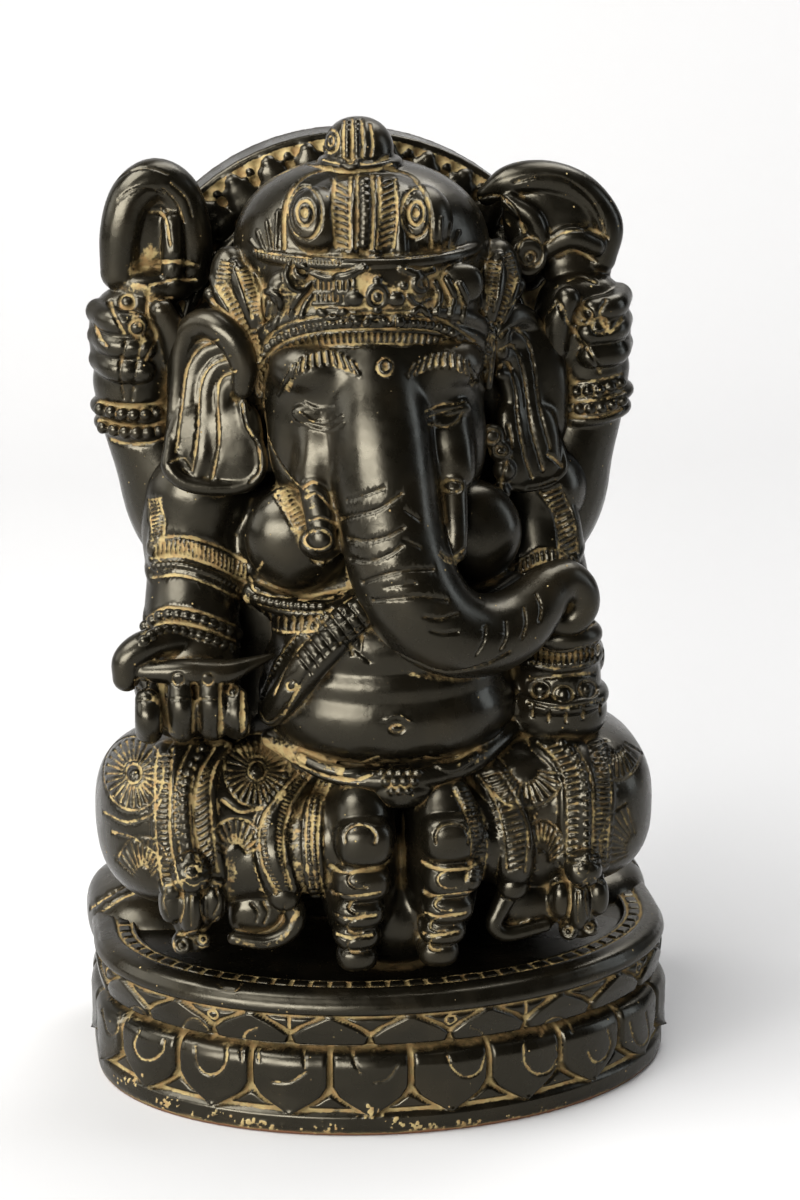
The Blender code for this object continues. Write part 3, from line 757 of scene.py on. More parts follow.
# The clasp under each knee: two scrolls, a leaf between them and claws on the platform.
CLASPS = (
    ((171, 901, 12, 22), (213, 900, 12, 22), (191, 909, 12, 27), (182, 943, 10, 9), (203, 938, 9, 8),
     (192, 872, 13, 12)),
    ((560, 898, 11, 21), (597, 895, 11, 20), (578, 905, 11, 25), (568, 930, 9, 8), (589, 926, 9, 8),
     (583, 868, 12, 12)),
)
CLASP_DEPTHS = (-37, -37, -39, -38, -38, -39)
CLASP_BODIES = ((192, 906, 22, 32), (194, 934, 15, 17), (578, 900, 20, 32), (580, 922, 14, 15))
for u, v, wide, high in CLASP_BODIES:
    seen_ball(u, v, -35.5, wide, 4.4, high, power=2.3)
for clasp in CLASPS:
    for (u, v, wide, high), depth in zip(clasp, CLASP_DEPTHS):
        seen_ball(u, v, depth, wide, 4.2, high, power=2.3)
# The sash ends: from the hip down beside the foot and round on the platform.
SASH_LOOPS = (
    ((283, 893, -37, 3.4), (296, 915, -39, 2.8), (288, 933, -40, 2.3), (266, 942, -40, 2),
     (234, 938, -39, 1.8)),
    ((512, 885, -37, 3.2), (500, 908, -39, 2.6), (494, 925, -40, 2.2), (508, 934, -40, 2),
     (545, 925, -39, 1.8)),
)
for loop in SASH_LOOPS:
    seen_limb(loop)
for u, v in ((262, 914), (527, 908)):
    ball(spot(u, v, -33), (8.5, 4.5, 7), power=2.3)
legs = run_together("folded_legs", ease=5)
clay = np.zeros(len(legs.data.vertices))

# Straps, sash and hem as broad low bands first, and then what is cut into the cloth and the bands.
carve(
    legs, clay,
    roll(6.5, 2.6, "200,742 184,765 176,800 180,845 190,872"),
    roll(3.4, 1.6, "166,748 163,800 165,850 172,885"),
    roll(3.2, 2.0, "222,748 208,768 204,800 208,840 215,876"),
    roll(4.6, 2.4, "304,772 288,794 275,815 270,838 274,866 284,893"),
    roll(2.8, 1.4, "326,778 314,805 312,850 318,898"),
    roll(6.0, 2.4, "552,742 572,760 580,790 580,830 582,865"),
    roll(3.2, 1.6, "598,748 604,790 602,830 598,866"),
    roll(4.6, 2.4, "486,772 504,796 514,825 518,850 514,882"),
    roll(2.6, 1.3, "462,790 476,820 480,850 474,880"))
carve(
    legs, clay,
    # The flowers printed in the cloth.
    rosette((133, 773), (30, 37), 24), rosette((257, 770), (33, 37), 26),
    rosette((236, 858), (30, 40), 11, start=20, stop=160),
    rosette((142, 884), (30, 48), 11, start=30, stop=150),
    rosette((525, 768), (40, 40), 13, start=190, stop=350),
    rosette((616, 738), (28, 42), 12, start=190, stop=340),
    rosette((542, 866), (26, 46), 9, start=20, stop=115),
    rosette((640, 850), (40, 50), 9, start=110, stop=200),
    line(0.5, 0.45, 0.9, "103,812 125,822 150,815 160,800", "222,800 240,812 262,808",
        "112,832 132,838 160,858"),
    # The straps: plain cord, ribs, and two rows of beads.
    line(0.45, 0.6, 0.9, "172,748 170,790 170,840 178,884"),
    line(0.45, 0.5, 0.9, "157,748 154,790 156,845 162,885"),
    line(0.45, 0.6, 0.9, "190,745 178,775 175,815 181,860", "198,748 192,780 190,820 196,862"),
    line(0.5, 0.7, 0.9, "214,748 199,775 194,815 202,870", "232,748 216,766 211,800 218,872"),
    ribs("171,755 169,800 176,880", "158,755 155,800 163,880", 24, 0.36, -0.6, 0.3),
    ribs("229,752 213,772 210,810 217,868", "215,758 201,778 197,816 205,876", 20, 0.42, -0.7, 0.3),
    beads("203,748 190,772 184,800 186,830 190,856", 13, 1.25, 1.1),
    beads("181,770 176,800 178,845", 14, 0.6, 0.6),
    line(0.5, 0.6, 0.9, "537,742 556,760 566,795 566,862", "575,745 590,775 594,810 592,860"),
    line(0.45, 0.5, 0.9, "608,745 612,790 608,862"),
    ribs("594,750 597,800 594,862", "608,750 611,800 606,862", 22, 0.36, -0.6, 0.2),
    ribs("545,748 562,775 566,800 566,862", "557,744 576,770 578,800 576,862", 18, 0.42, -0.7, 0.3),
    beads("562,742 580,762 586,790 587,830 586,856", 13, 1.15, 1.0),
    # The sash with its ticked edges, and the hem beside the foot.
    line(0.5, 0.8, 0.9, "298,772 278,795 264,815 258,838 262,866 276,893",
        "311,774 299,792 290,808 284,838 287,868 292,890"),
    ribs("303,774 284,797 270,816 265,838 269,866 281,891",
        "297,779 278,800 264,819 260,840 263,866 275,890", 30, 0.34, -0.5, 0.7),
    ribs("311,775 298,794 289,810 284,838 287,868 292,888",
        "305,772 292,790 282,806 277,838 281,866 286,886", 30, 0.34, -0.5, 0.7),
    line(0.45, 0.6, 0.9, "333,778 321,803 318,850 324,898", "320,778 308,803 305,850 311,898"),
    line(0.4, 0.5, 0.9, "326,778 314,803 312,850 318,898"),
    ribs("333,780 321,805 318,850 324,896", "320,780 308,805 305,850 311,896", 26, 0.34, -0.5, 0.5),
    line(0.5, 0.7, 0.9, "478,776 494,800 502,830 506,870", "500,772 516,798 528,830 526,872"),
    ribs("480,778 495,802 503,832 507,872", "498,772 514,796 526,828 526,866", 16, 0.42, -0.6, 0.3),
    line(0.5, 0.6, 0.9, "454,790 468,820 472,850 466,880"),
    line(0.45, 0.5, 0.9, "470,788 484,818 488,850 482,880"),
    ribs("456,792 469,822 473,850 467,878", "470,790 484,820 487,850 481,878", 18, 0.34, -0.5, 0.3),
    # The nails and the gaps between the toes.
    ring((360, 838), (16, 14), 0.5, -0.5, 0.8, 200, -20),
    ring((361, 880), (13, 9), 0.4, -0.45, 0.7, 110, 300),
    ring((360, 907), (11, 7), 0.4, -0.45, 0.7, 110, 300),
    ring((357, 927), (10, 6), 0.4, -0.45, 0.7, 110, 300),
    ring((355, 946), (8, 6), 0.4, -0.45, 0.6, 110, 300),
    ring((452, 838), (17, 15), 0.5, -0.5, 0.8, 200, -20),
    ring((450, 880), (13, 9), 0.4, -0.45, 0.7, 110, 300),
    ring((446, 904), (11, 7), 0.4, -0.45, 0.7, 110, 300),
    ring((440, 925), (10, 6), 0.4, -0.45, 0.7, 110, 300),
    ring((437, 944), (8, 6), 0.4, -0.45, 0.6, 110, 300),
    line(0.6, 0.5, 0.9, "330,866 345,872 376,868 392,860", "332,892 350,897 380,893",
        "334,914 350,919 376,915", "336,934 350,938 372,935", "422,862 440,869 466,868 482,860",
        "424,892 440,896 472,892", "424,913 440,917 466,913", "422,933 436,936 458,932"),
    # The clasps.
    line(0.5, 0.7, 0.9, "181,886 183,905 180,922", "203,886 201,905 204,920"),
    line(0.4, 0.5, 0.6, "165,890 163,903 168,916", "191,896 190,912 191,926",
        "216,888 219,902 214,915"),
    ring((182, 945), (5, 5), 0.5, -0.8, 0.1), ring((203, 939), (4, 4), 0.45, -0.5, 0.8),
    line(0.45, 0.5, 0.8, "164,924 178,934 193,932 208,928 218,918"),
    ring((192, 872), (7, 7), 0.45, -0.4, 0.7),
    line(0.5, 0.45, 0.9, "165,886 182,881 193,887 206,881 222,886"),
    line(0.5, 0.7, 0.9, "569,884 570,902 568,918", "587,882 586,900 588,915"),
    line(0.4, 0.5, 0.6, "578,892 578,908 578,922"), ring((568, 931), (4, 4), 0.5, -0.7, 0.3),
    ring((589, 927), (4, 4), 0.45, -0.5, 0.8), ring((583, 868), (7, 7), 0.45, -0.4, 0.7),
    line(0.5, 0.45, 0.9, "552,884 566,880 578,886 590,878 604,882"),
    line(0.35, 0.4, 0.5, "252,904 258,912 256,922", "264,902 268,912 264,924"),
    line(0.4, 0.5, 0.6, "236,930 258,934 278,924 286,904"))
# Clay that lies thick under the belly, between the feet and round whatever stands on the platform.
carve(
    legs, clay,
    smear(2.2, 0.8, "215,742 240,748 270,742"), smear(1.6, 0.8, "402,790 403,830 402,862"),
    smear(1.2, 0.6, "232,858 232,900"), smear(1.4, 0.6, "298,800 294,840 300,885"),
    smear(0.9, 0.7, "170,930 180,956 205,950 222,925", "232,938 258,947 282,938 298,912"),
    smear(1.4, 0.6, "535,800 540,840 536,880"))
complete(legs, clay, 170000)

# The trunk of the body and the front arms: a belly in two folds, the chest, the bands on the
# arms, the hand with its blade on the left knee and the hand with the bowl on the right.


def hoop(centre, radii, thick, turn=(0, 0, 0)):
    """A ring of round section; radii are its half-width and half-depth."""
    bpy.ops.mesh.primitive_torus_add(
        major_segments=64, minor_segments=12, major_radius=1.0, minor_radius=thick / max(radii),
        location=np.array(centre) * MM, rotation=[math.radians(angle) for angle in turn])
    form = take_form()
    form.scale = (radii[0] * MM, radii[1] * MM, max(radii) * MM)


ball((0, -12.5, 104.5), (32.5, 30, 15.5), power=2.3)
ball((0, -12.5, 121.5), (28.5, 27.5, 15.5), power=2.2)
ball((0, -12, 113), (31, 29.2, 12), power=2.2)
ball((0, 0, 140), (38, 22, 24), power=2.3)
for side in (-1, 1):
    ball((side * 21.5, -18.5, 148), (13.5, 9.5, 13.5))
limb([(-44, 1, 155, 14), (-46.5, 0, 146, 12.8), (-46.6, -4, 135, 12.2), (-48.5, -11, 126, 12),
      (-49, -17, 118, 11.6)])
limb([(43, 2, 154, 13), (41.5, 0, 144, 11.2), (43, -5, 132, 11.2), (43, -12, 120, 11),
      (43.2, -16, 110, 11.6), (43, -17, 100, 11.8)])
ball((-51, -18, 111), (13.5, 10.5, 8.5), power=2.3)
ball((-50, -15.5, 103.5), (12, 10.5, 7), power=2.3)
ball((-51, -22, 108), (12.5, 9.8, 7.6), power=2.5)
ball((43, -17, 100), (13, 12, 9), power=2.3)
soften(9)
# The belt in waves under the belly, the sacred cord across it, the armlets and the bracelets.
limb([(-31, -22, 97, 2.6), (-17, -35, 91.5, 2.6), (0, -40, 90.5, 2.6), (17, -35, 92, 2.6),
      (31, -22, 97, 2.6)])
ball((0, -39, 87.5), (8, 4, 4.5))
for side in (-1, 1):
    limb([(side * 33, -15, 133, 3), (side * 22, -24.5, 131, 3), (side * 8, -28, 131.5, 2.8)])
limb([(-4, -34, 136, 3.8), (-12, -36.4, 131, 4.2), (-21, -37.2, 122, 4.4), (-27, -33.4, 113, 4.2),
      (-31, -28, 106, 3.6)])
hoop((-46, -2.5, 138.8), (11.4, 12.4), 1.7, (16, 14, 0))
hoop((-46.6, -4, 134.6), (11.4, 12.2), 1.7, (16, 14, 0))
hoop((-48.6, -12, 124.6), (11, 12), 1.7, (38, 12, 0))
hoop((-48.8, -13.4, 121.6), (11, 12), 1.6, (38, 12, 0))
hoop((41.8, -3, 138.5), (10.6, 11.6), 1.7, (16, -10, 0))
hoop((43.2, -15, 114.5), (11, 11.8), 1.9)
hoop((43.2, -16.8, 104), (11.2, 12.2), 2.4)
ball((-54.6, -4, 145), (3.6, 6.5, 9), turn=(0, 8, 0), power=2.6)
ball((49.2, -4, 144), (3.6, 6.5, 9), turn=(0, -8, 0), power=2.6)
# The left hand: four fingers over the knee and a thumb along the blade that it holds.
for x, high in ((-62, 112), (-53.8, 114), (-46.3, 114.5), (-40.2, 111.5)):
    limb([(x, -32, high, 3.1), (x, -34, high - 4, 3.5), (x, -31.5, 104, 3.5)])
THUMB = ((205, 645, -21, 3), (175, 640, -24, 3.8), (145, 646, -27, 3.9), (127, 660, -28, 3.6),
         (126, 678, -28, 3.4))
seen_limb(THUMB)
BLADE = ((145, 672, -29, 2.4), (185, 672, -31, 3.4), (225, 672, -31, 3.2), (250, 664, -30, 1.9),
         (272, 656, -29, 0.8))
seen_limb(BLADE)
# The right hand with the bowl of sweets, and its thumb.
ball((44.5, -21, 121), (10, 9, 5))
ball((53, -12, 112), (3.8, 5, 6))
torso = run_together("body_and_arms", ease=5)
clay = np.zeros(len(torso.data.vertices))

carve(
    torso, clay,
    roll(2.0, 0.7, "150,548 180,545 215,554 245,570"), roll(2.4, 0.7, "262,600 290,610 340,612"),
    roll(2.2, 0.8, "278,485 302,525"))
carve(
    torso, clay,
    # The belly: its crease, the navel, and the belt with its cluster of beads.
    ring((397, 729), (7, 4), 0.5, -0.5, 0.8), line(0.35, -0.3, 0.7, "386,720 398,715 411,722"),
    roll(1.2, 0.8, "300,757 325,768 352,772 378,764 400,770 425,764 452,768 475,755"),
    line(0.6, 0.5, 0.9, "300,750 325,760 352,764 378,757", "425,757 452,760 478,748",
        "300,766 325,776 355,780 372,774"),
    beads("382,772 418,772", 5, 1.1, 0.9), beads("386,782 414,782", 4, 1.1, 0.9),
    beads("392,791 408,791", 3, 1.1, 0.9),
    # The cord: a beaded edge, fat curved ribs and the leaf at its end.
    line(0.6, 0.6, 0.9, "352,598 318,618 288,645 268,680 256,712",
        "378,616 352,634 320,658 298,690 284,716"),
    ribs("358,600 334,612 310,632 296,654", "374,620 354,636 330,652 312,674", 9, 0.42, -0.8, -0.4),
    beads("326,614 298,636 278,664 264,694 258,714", 24, 0.8, 0.7),
    line(0.45, 0.5, 0.7, "330,622 304,642 286,668 274,694"), ring((291, 686), (5, 5), 0.45, -0.5, 0.8),
    line(0.45, 0.4, 0.6, "262,690 259,708 266,722 278,718 286,704"),
    line(0.5, 0.45, 0.9, "342,640 356,650 370,662", "350,636 352,655", "362,634 360,655"),
    # The chest: a collar line, the band below the breast with its lens and beads.
    line(0.5, 0.5, 0.9, "250,578 258,592 300,597 350,587", "256,622 285,632 330,628 352,615"),
    beads("256,598 275,603 300,606 322,606", 10, 1.25, 1.1),
    line(0.45, 0.3, 0.7, "256,604 275,609 300,612 322,612"),
    ribs("262,610 285,617 318,617", "264,622 285,630 316,630", 8, 0.6, -0.7, 0.7),
    line(0.4, 0.5, 0.7, "308,598 326,593 344,594 330,602 308,604"),
    line(0.5, 0.45, 0.9, "270,487 294,528", "285,482 310,522"),
    ribs("272,490 296,527", "284,484 308,521", 10, 0.45, -0.6, 0.9),
    ring((322, 553), (11, 10), 0.5, -0.5), beads("314,552 330,552", 3, 1.2, 1.0),
    beads("322,544 322,563", 3, 1.2, 1.0),
    # The left arm: a hatched plate, a plain tape and two rows of ribs.
    line(0.5, 0.45, 0.9, "158,500 164,520 163,542", "148,500 152,545"),
    ribs("150,500 150,545", "161,498 162,540", 12, 0.38, -0.5, 0.8),
    line(0.5, 0.5, 0.9, "150,540 180,536 215,545 246,562", "150,559 180,556 215,566 245,582",
        "152,577 180,575 210,584 240,599"),
    ribs("155,544 180,541 214,550 245,566", "155,556 180,553 214,562 244,578", 22, 0.45, -0.7, 0.9),
    beads("154,566 180,565 212,574 242,590", 20, 1.0, 0.9),
    # The left bracelet in two rows of squares, and the clay between the arm and the body.
    line(0.5, 0.5, 0.9, "142,622 165,608 200,612 240,628", "142,634 165,622 200,627 236,641"),
    beads("145,626 165,614 200,619 238,634", 12, 1.5, 1.3),
    beads("144,640 165,629 200,635 232,648", 12, 1.4, 1.2),
    # The fingers of the left hand: nails above and knuckles below, with clay between them.
    ring((142, 684), (7, 6), 0.35, -0.35, 0.3), ring((178, 679), (6, 6), 0.35, -0.35, 0.3),
    ring((208, 679), (6, 6), 0.35, -0.35, 0.3), ring((232, 690), (5, 6), 0.35, -0.35, 0.3),
    line(0.35, 0.25, 0.5, "132,700 152,700", "171,699 190,699", "199,699 218,699"),
    line(0.9, 0.6, 0.9, "161,684 162,730", "194,684 194,738", "221,686 221,738", "243,692 243,732"),
    # The right arm: armlet, bowl, bracelet in squares and framed beads.
    line(0.5, 0.45, 0.9, "540,492 556,520 560,560", "560,486 574,520 578,552"),
    ribs("542,495 557,522 561,556", "560,488 573,520 577,548", 12, 0.42, -0.6, 0.9),
    line(0.5, 0.45, 0.9, "520,560 545,548 575,556", "520,572 545,562 580,568"),
    ribs("520,562 545,550 576,558", "520,571 545,561 579,567", 12, 0.42, -0.5, 0.8),
    line(0.6, 0.5, 0.9, "528,622 560,632 604,620", "528,642 560,652 606,640", "530,662 560,670 604,660",
        "528,680 560,676 604,672"),
    ribs("530,644 560,654 604,643", "530,660 560,668 603,658", 14, 0.45, -0.6, 0.45),
    ring((540, 690), (9, 8), 0.5, -0.5, 0.35), ring((563, 694), (10, 8), 0.5, -0.5, 0.35),
    ring((588, 689), (9, 8), 0.5, -0.5, 0.35),
    ribs("532,703 560,709 600,702", "532,716 560,722 600,714", 5, 0.5, -0.6, 0.3),
    beads("540,690 563,694 588,689", 3, 1.5, 0.9), line(0.6, 0.5, 0.9, "528,702 560,708 604,700"))
carve(
    torso, clay,
    smear(2.2, 0.85, "252,738 280,752 300,760"), smear(0.7, 0.7, "360,652 378,660 400,670 430,680"),
    smear(0.9, 0.6, "262,562 254,575"), smear(0.9, 0.75, "300,600 330,598 350,588"),
    smear(1.4, 0.7, "247,596 244,618 247,640"), smear(1.6, 0.8, "256,682 255,705 250,735"),
    smear(1.7, 0.9, "334,490 343,520 350,560 352,585"),
    smear(1.3, 0.8, "274,478 284,496 296,530 320,562"),
    smear(2.6, -0.8, "362,606 342,624 320,642 303,664"),
    smear(1.3, 0.6, "150,690 180,738 215,742 250,740"), smear(2.6, 0.35, "382,762 400,800 418,762"),
    smear(1.6, 0.7, "270,742 300,752 340,770"), smear(1.4, 0.6, "460,768 490,752"))
complete(torso, clay, 165000)

# The elephant's head: the skull with its heavy brows, the trunk that hangs and turns to the bowl,
# one broken and one whole tusk.
ball((0, -7, 182), (28, 21.5, 24), power=2.3)
ball((0, -16, 189), (21, 13.5, 13), power=2.4)
ball((-0.5, -19.5, 175), (13, 12.5, 22), power=2.5)
for side in (-1, 1):
    ball((side * 15.5, -17.6, 191.5), (11.5, 10.5, 7.6))
    ball((side * 18, -13.5, 172), (9.5, 9.5, 17), power=2.2)
    out = 15.6 if side < 0 else 16.6
    limb([(side * out, -18.5, 181, 5.8), (side * out, -22.8, 172, 6.4),
          (side * 17.3, -24.4, 165.5, 5.8)])
TRUNK = ((-0.6, -19, 190, 12), (-1, -25, 178, 12.8), (-0.8, -28.8, 166, 13), (0, -31.4, 154.5, 12.9),
         (1.8, -34, 144, 13.2), (5.5, -35.5, 135, 13.2), (12, -36, 128.5, 12.2),
         (21, -35, 125.8, 10.6), (29.5, -33, 127.6, 9.3), (35.6, -31, 132, 7.8),
         (40, -29, 135.8, 6.4), (44.2, -27.8, 137, 5.3))
limb(TRUNK, steps=5)
soften(26)
limb([(40, -29, 135.8, 6), (44.2, -27.8, 137, 5.3), (47.8, -27, 134.2, 4.6),
      (48.4, -26.5, 129.6, 4.3), (45.4, -26.5, 125.8, 4), (41.6, -26.5, 126.4, 3.7),
      (40.6, -27, 129.6, 3.2)], steps=5)
for side in (-1, 1):
    ball((side * 15.6, -23.6, 181), (6.8, 2.6, 3))
limb([(-17.8, -27, 163.5, 4), (-17.2, -31, 156, 3.7), (-17.2, -32.5, 151.5, 3.6)])
limb([(16.6, -27, 163.5, 3.5), (16, -32, 154, 3.2), (15.4, -34, 147.5, 3)])
ball((-17, -29, 149.5), (5.6, 5, 4.4))
head = run_together("elephant_head", ease=6)
clay = np.zeros(len(head.data.vertices))

LEFT_BROW = "286,388 291,376 300,367 312,361 326,358 340,361 352,368"
RIGHT_BROW = "416,370 430,362 444,359 458,363 469,372 476,384"


def short_strokes(path, count, length, slant):
    """A row of short slanting hairs along a path, as in an eyebrow."""
    made = []
    for i, (u, v) in enumerate(spaced(path, count)):
        lean = slant * (1 - 2 * i / (count - 1))
        made += roll(0.52, 0.65, [(u, v - length / 2), (u + lean, v + length / 2)])
    return made


carve(head, clay, line(1.9, 0.15, 0.8, LEFT_BROW), line(1.9, 0.15, 0.7, RIGHT_BROW))
carve(
    head, clay,
    short_strokes(LEFT_BROW, 13, 13, -7), short_strokes(RIGHT_BROW, 12, 13, -7),
    ring((385, 367), (5, 6), 0.5, 0.6, 0), ring((385, 367), (8, 9), 0.36, -0.3, 0.8),
    ring((385, 367), (2, 3), 0.4, -0.5, 0.9),
    # The eyes: two lids nearly closed, with creases over and under them.
    line(0.36, -0.5, 0.8, "300,412 313,421 329,423 343,416"),
    line(0.34, -0.35, 0.6, "299,420 313,428 330,430 344,422"),
    line(0.35, -0.3, 0.3, "304,402 316,408 334,408"),
    line(0.4, 0.4, 0.8, "425,412 440,405 458,403 464,401", "428,424 444,427 456,422 463,412"),
    line(0.35, 0.35, 0.8, "426,418 444,412 462,407"), line(0.3, 0.3, 0.7, "430,409 446,416 460,413"),
    # Cheeks and the sockets of the tusks.
    line(0.5, 0.35, 0.7, "264,404 269,440 284,470 302,490"),
    line(0.5, 0.5, 0.9, "302,488 314,482 328,490 332,506"),
    line(0.45, 0.5, 0.9, "304,498 318,494 334,512"), line(0.45, 0.45, 0.9, "308,520 322,518 336,524"),
    ring((318, 540), (14, 10), 0.5, -0.5, 0.8), ring((452, 486), (11, 6), 0.5, -0.5, 0.6),
    line(0.5, 0.4, 0.9, "441,552 452,558 464,550"),
    # The wrinkles of the trunk.
    line(0.55, 0.69, 0.1, "340,519 355,515 378,509 402,494", "348,539 366,541 386,537 404,528"),
    line(0.55, 0.62, 0.1, "350,559 370,561 388,555 402,546"),
    line(0.6, 0.69, 0.1, "362,583 378,577 402,571 434,569"),
    line(0.55, 0.56, 0.1, "372,601 392,599 420,597 448,600"),
    line(0.45, 0.50, 0.1, "424,617 440,619 458,614", "430,631 444,634 458,632"),
    line(0.45, 0.44, 0.1, "346,500 362,496 384,488"),
    line(0.4, 0.38, 0.1, "405,510 420,520", "404,540 422,548", "384,588 400,585 416,584"),
    line(0.45, 0.44, 0.1, "476,655 484,642 486,626", "500,650 506,638 506,622",
        "522,638 526,624 524,608", "540,620 541,606 536,594"),
    line(0.55, 0.62, 0.1, "354,590 364,620 384,644 412,660 446,672 482,666 510,652"))
carve(
    head, clay,
    smear(2.4, -1.0, "336,400 338,440 342,478"), smear(1.0, 0.7, "268,392 262,410 266,440"),
    smear(1.2, 0.5, "300,480 310,500 316,530"), smear(1.2, 0.7, "440,555 455,562 470,552"))
complete(head, clay, 110000, cling=0.12)

# The two ears: broad sheets that hang from the crown, with a rolled rim and folds that fan down
# from a curl at the top.
EAR_SHEETS = (((205, 392, -4.5), (36, 70)), ((214, 446, -9), (46, 43)), ((236, 446, -10.5), (27, 46)))
RIGHT_SHEETS = (((520, 392, -4.5), (22, 72)), ((534, 446, -7.5), (26, 42)),
                ((512, 446, -9.5), (16, 44)))
EAR_RIM = ((243, 388, -12.5, 2.6), (244, 366, -12.5, 3.4), (235, 343, -11.5, 3.9),
           (220, 328, -9.5, 3.9), (204, 323, -6.5, 3.7), (189, 331, -4, 3.3), (181, 352, -3.5, 2.8),
           (178, 385, -4, 2.4), (175, 420, -5.5, 2.2), (171, 448, -8.5, 2), (170, 468, -10.5, 2.2),
           (186, 483, -12, 2.1), (215, 488, -13, 2), (246, 484, -13.5, 2), (260, 468, -13.5, 1.9),
           (258, 445, -13, 1.7), (246, 425, -12.2, 1.6), (243, 404, -11.2, 1.6))
EAR_FOLDS = (
    ((228, 345, -8, 1.4), (207, 352, -6.5, 1.9), (195, 375, -6, 2.2), (190, 405, -7.5, 2.2),
     (187, 440, -9.5, 2), (181, 462, -10.5, 1.5)),
    ((236, 362, -9.5, 1.4), (219, 366, -8.4, 1.9), (208, 388, -8.4, 2.1), (207, 420, -10, 2.2),
     (204, 455, -12, 2), (198, 474, -12.4, 1.4)),
    ((240, 378, -10.6, 1.2), (230, 382, -10.4, 1.7), (223, 400, -10.4, 1.9), (227, 432, -11.8, 2),
     (223, 462, -13, 1.8), (216, 478, -13, 1.2)),
)
for sheets, side in ((EAR_SHEETS, -1), (RIGHT_SHEETS, 1)):
    for (u, v, depth), (wide, high) in sheets:
        seen_ball(u, v, depth, wide, 3.4, high, turn=(-8, 0, side * 10), power=2.8)
    ball((side * 38, 0, 178), (13, 6, 20), power=2.5)
soften(5)
# The right ear is seen from its edge, so its rim and folds have their own places.
RIGHT_EAR = (
    ((500, 352, -9, 2.2), (500, 328, -8, 3), (512, 316, -5, 3.4), (528, 322, -1, 3.2),
     (538, 345, 1, 2.8), (542, 385, -1, 2.3), (548, 425, -3.5, 2.2), (558, 452, -5.5, 2.2),
     (560, 468, -7, 2.2), (547, 480, -9, 2.1), (524, 485, -11, 2), (506, 484, -12, 1.8)),
    ((502, 342, -8, 1.5), (514, 338, -6, 2.1), (526, 354, -4, 2.2), (532, 390, -5, 2.2),
     (539, 430, -7, 2), (548, 460, -8.5, 1.5)),
    ((500, 358, -9, 1.5), (510, 356, -7, 2), (519, 376, -6.5, 2.1), (523, 410, -8, 2.1),
     (530, 448, -10, 1.9), (537, 472, -10.5, 1.3)),
    ((500, 374, -9.6, 1.3), (506, 378, -8.6, 1.8), (512, 400, -9, 1.9), (514, 430, -10.4, 1.9),
     (520, 458, -11.5, 1.7), (525, 476, -11.8, 1.2)),
)
for route in (EAR_RIM, RIGHT_EAR[0]):
    seen_limb(route)
# The folds swell gently out of the sheet, so each is a thick bar sunk in it.
for route in (*EAR_FOLDS, *RIGHT_EAR[1:]):
    limb([spot(u, v, depth + 0.95 * radius, 1.4 * radius) for u, v, depth, radius in route])
# A jewelled drop hangs inside the right ear.
for u, v, radius in ((492, 436, 3.2), (500, 450, 3), (504, 470, 3), (500, 492, 2.8)):
    ball(spot(u, v, -14), (radius, 2.6, radius))
ears = run_together("ears", ease=5)
clay = np.zeros(len(ears.data.vertices))
carve(
    ears, clay,
    line(0.4, 0.5, 0.8, "176,452 181,410 186,372 198,349 218,340",
        "192,470 198,430 199,392 208,368 230,356", "212,478 219,440 217,400 221,378 236,371"),
    line(0.4, 0.4, 0.75, "242,404 246,424 258,446 260,470 250,482"),
    line(0.4, 0.4, 0.7, "170,462 184,458 192,468"),
    line(0.4, 0.3, 0.5, "166,478 185,493 220,497 255,492"))
carve(
    ears, clay,
    line(0.5, 0.5, 0.5, "500,336 512,328 526,338 534,365 540,410 550,448"),
    line(0.5, 0.6, 0.6, "500,350 512,346 521,362 527,395 532,430 543,470",
        "500,366 508,364 515,386 518,420 525,456 532,478"),
    line(0.5, 0.5, 0.9, "548,455 556,460 562,466"), ring((492, 436), (8, 7), 0.45, -0.5, 0.7),
    ring((501, 451), (6, 5), 0.45, -0.5, 0.7), line(0.45, 0.5, 0.7, "508,425 512,448 504,470 500,492"),
    line(0.5, 0.4, 0.5, "528,488 540,486 556,480"))
complete(ears, clay, 75000)

# The crown: ribbed brow bands, a jewelled drum, a smooth dome behind a crest plate, the finial, and
# a cluster of plumes over each ear.
ball((0, -2.5, 206), (28.8, 25.5, 9), power=2.6)
bpy.ops.mesh.primitive_cylinder_add(
    vertices=96, radius=1, depth=22.0 * MM, location=(0, -1.5 * MM, 208 * MM))
drum = take_form()
drum.scale = (28.5 * MM, 26.4 * MM, 1)
ball((0, 2, 216), (32, 23.5, 23), power=2.2)
soften(3)
hoop((0, -1.5, 218.2), (28.4, 26.4), 1.5)
BROW_BANDS = (
    ((28, -9.5, 189.5, 2), (24.2, -17.8, 197.2, 2.1), (12.5, -25.4, 202, 2.1), (0, -28, 202.9, 2.1)),
    ((28.8, -8.5, 193.6, 2), (24.8, -17.8, 201.4, 2.1), (12.5, -25.9, 206, 2.1), (0, -28, 206.8, 2.1)),
)
for band in BROW_BANDS:
    limb([(-x, y, z, radius) for x, y, z, radius in band] + list(band[-2::-1]))
ball((0, -27, 212), (11, 3, 5.5), power=3)
for side in (-1, 1):
    ball((side * 20.5, -21, 211.5), (6, 3.4, 5), power=2.4)
ball((0, -7.5, 219), (21.5, 15.5, 18), power=2.4)
for side in (-1, 1):
    ball((side * 12.8, -16, 227), (7.4, 6, 8.6), turn=(-32, 0, 0))
for x in (-6, 0, 6):
    limb([(x, -22.3, 220.5, 2), (x, -20, 228.5, 2), (x, -12.8, 234.5, 1.8)])
hoop((0, 0, 238.2), (9.2, 8.6), 1.5)
ball((0, 0.5, 241), (8.6, 8.2, 8.4), power=2.2)
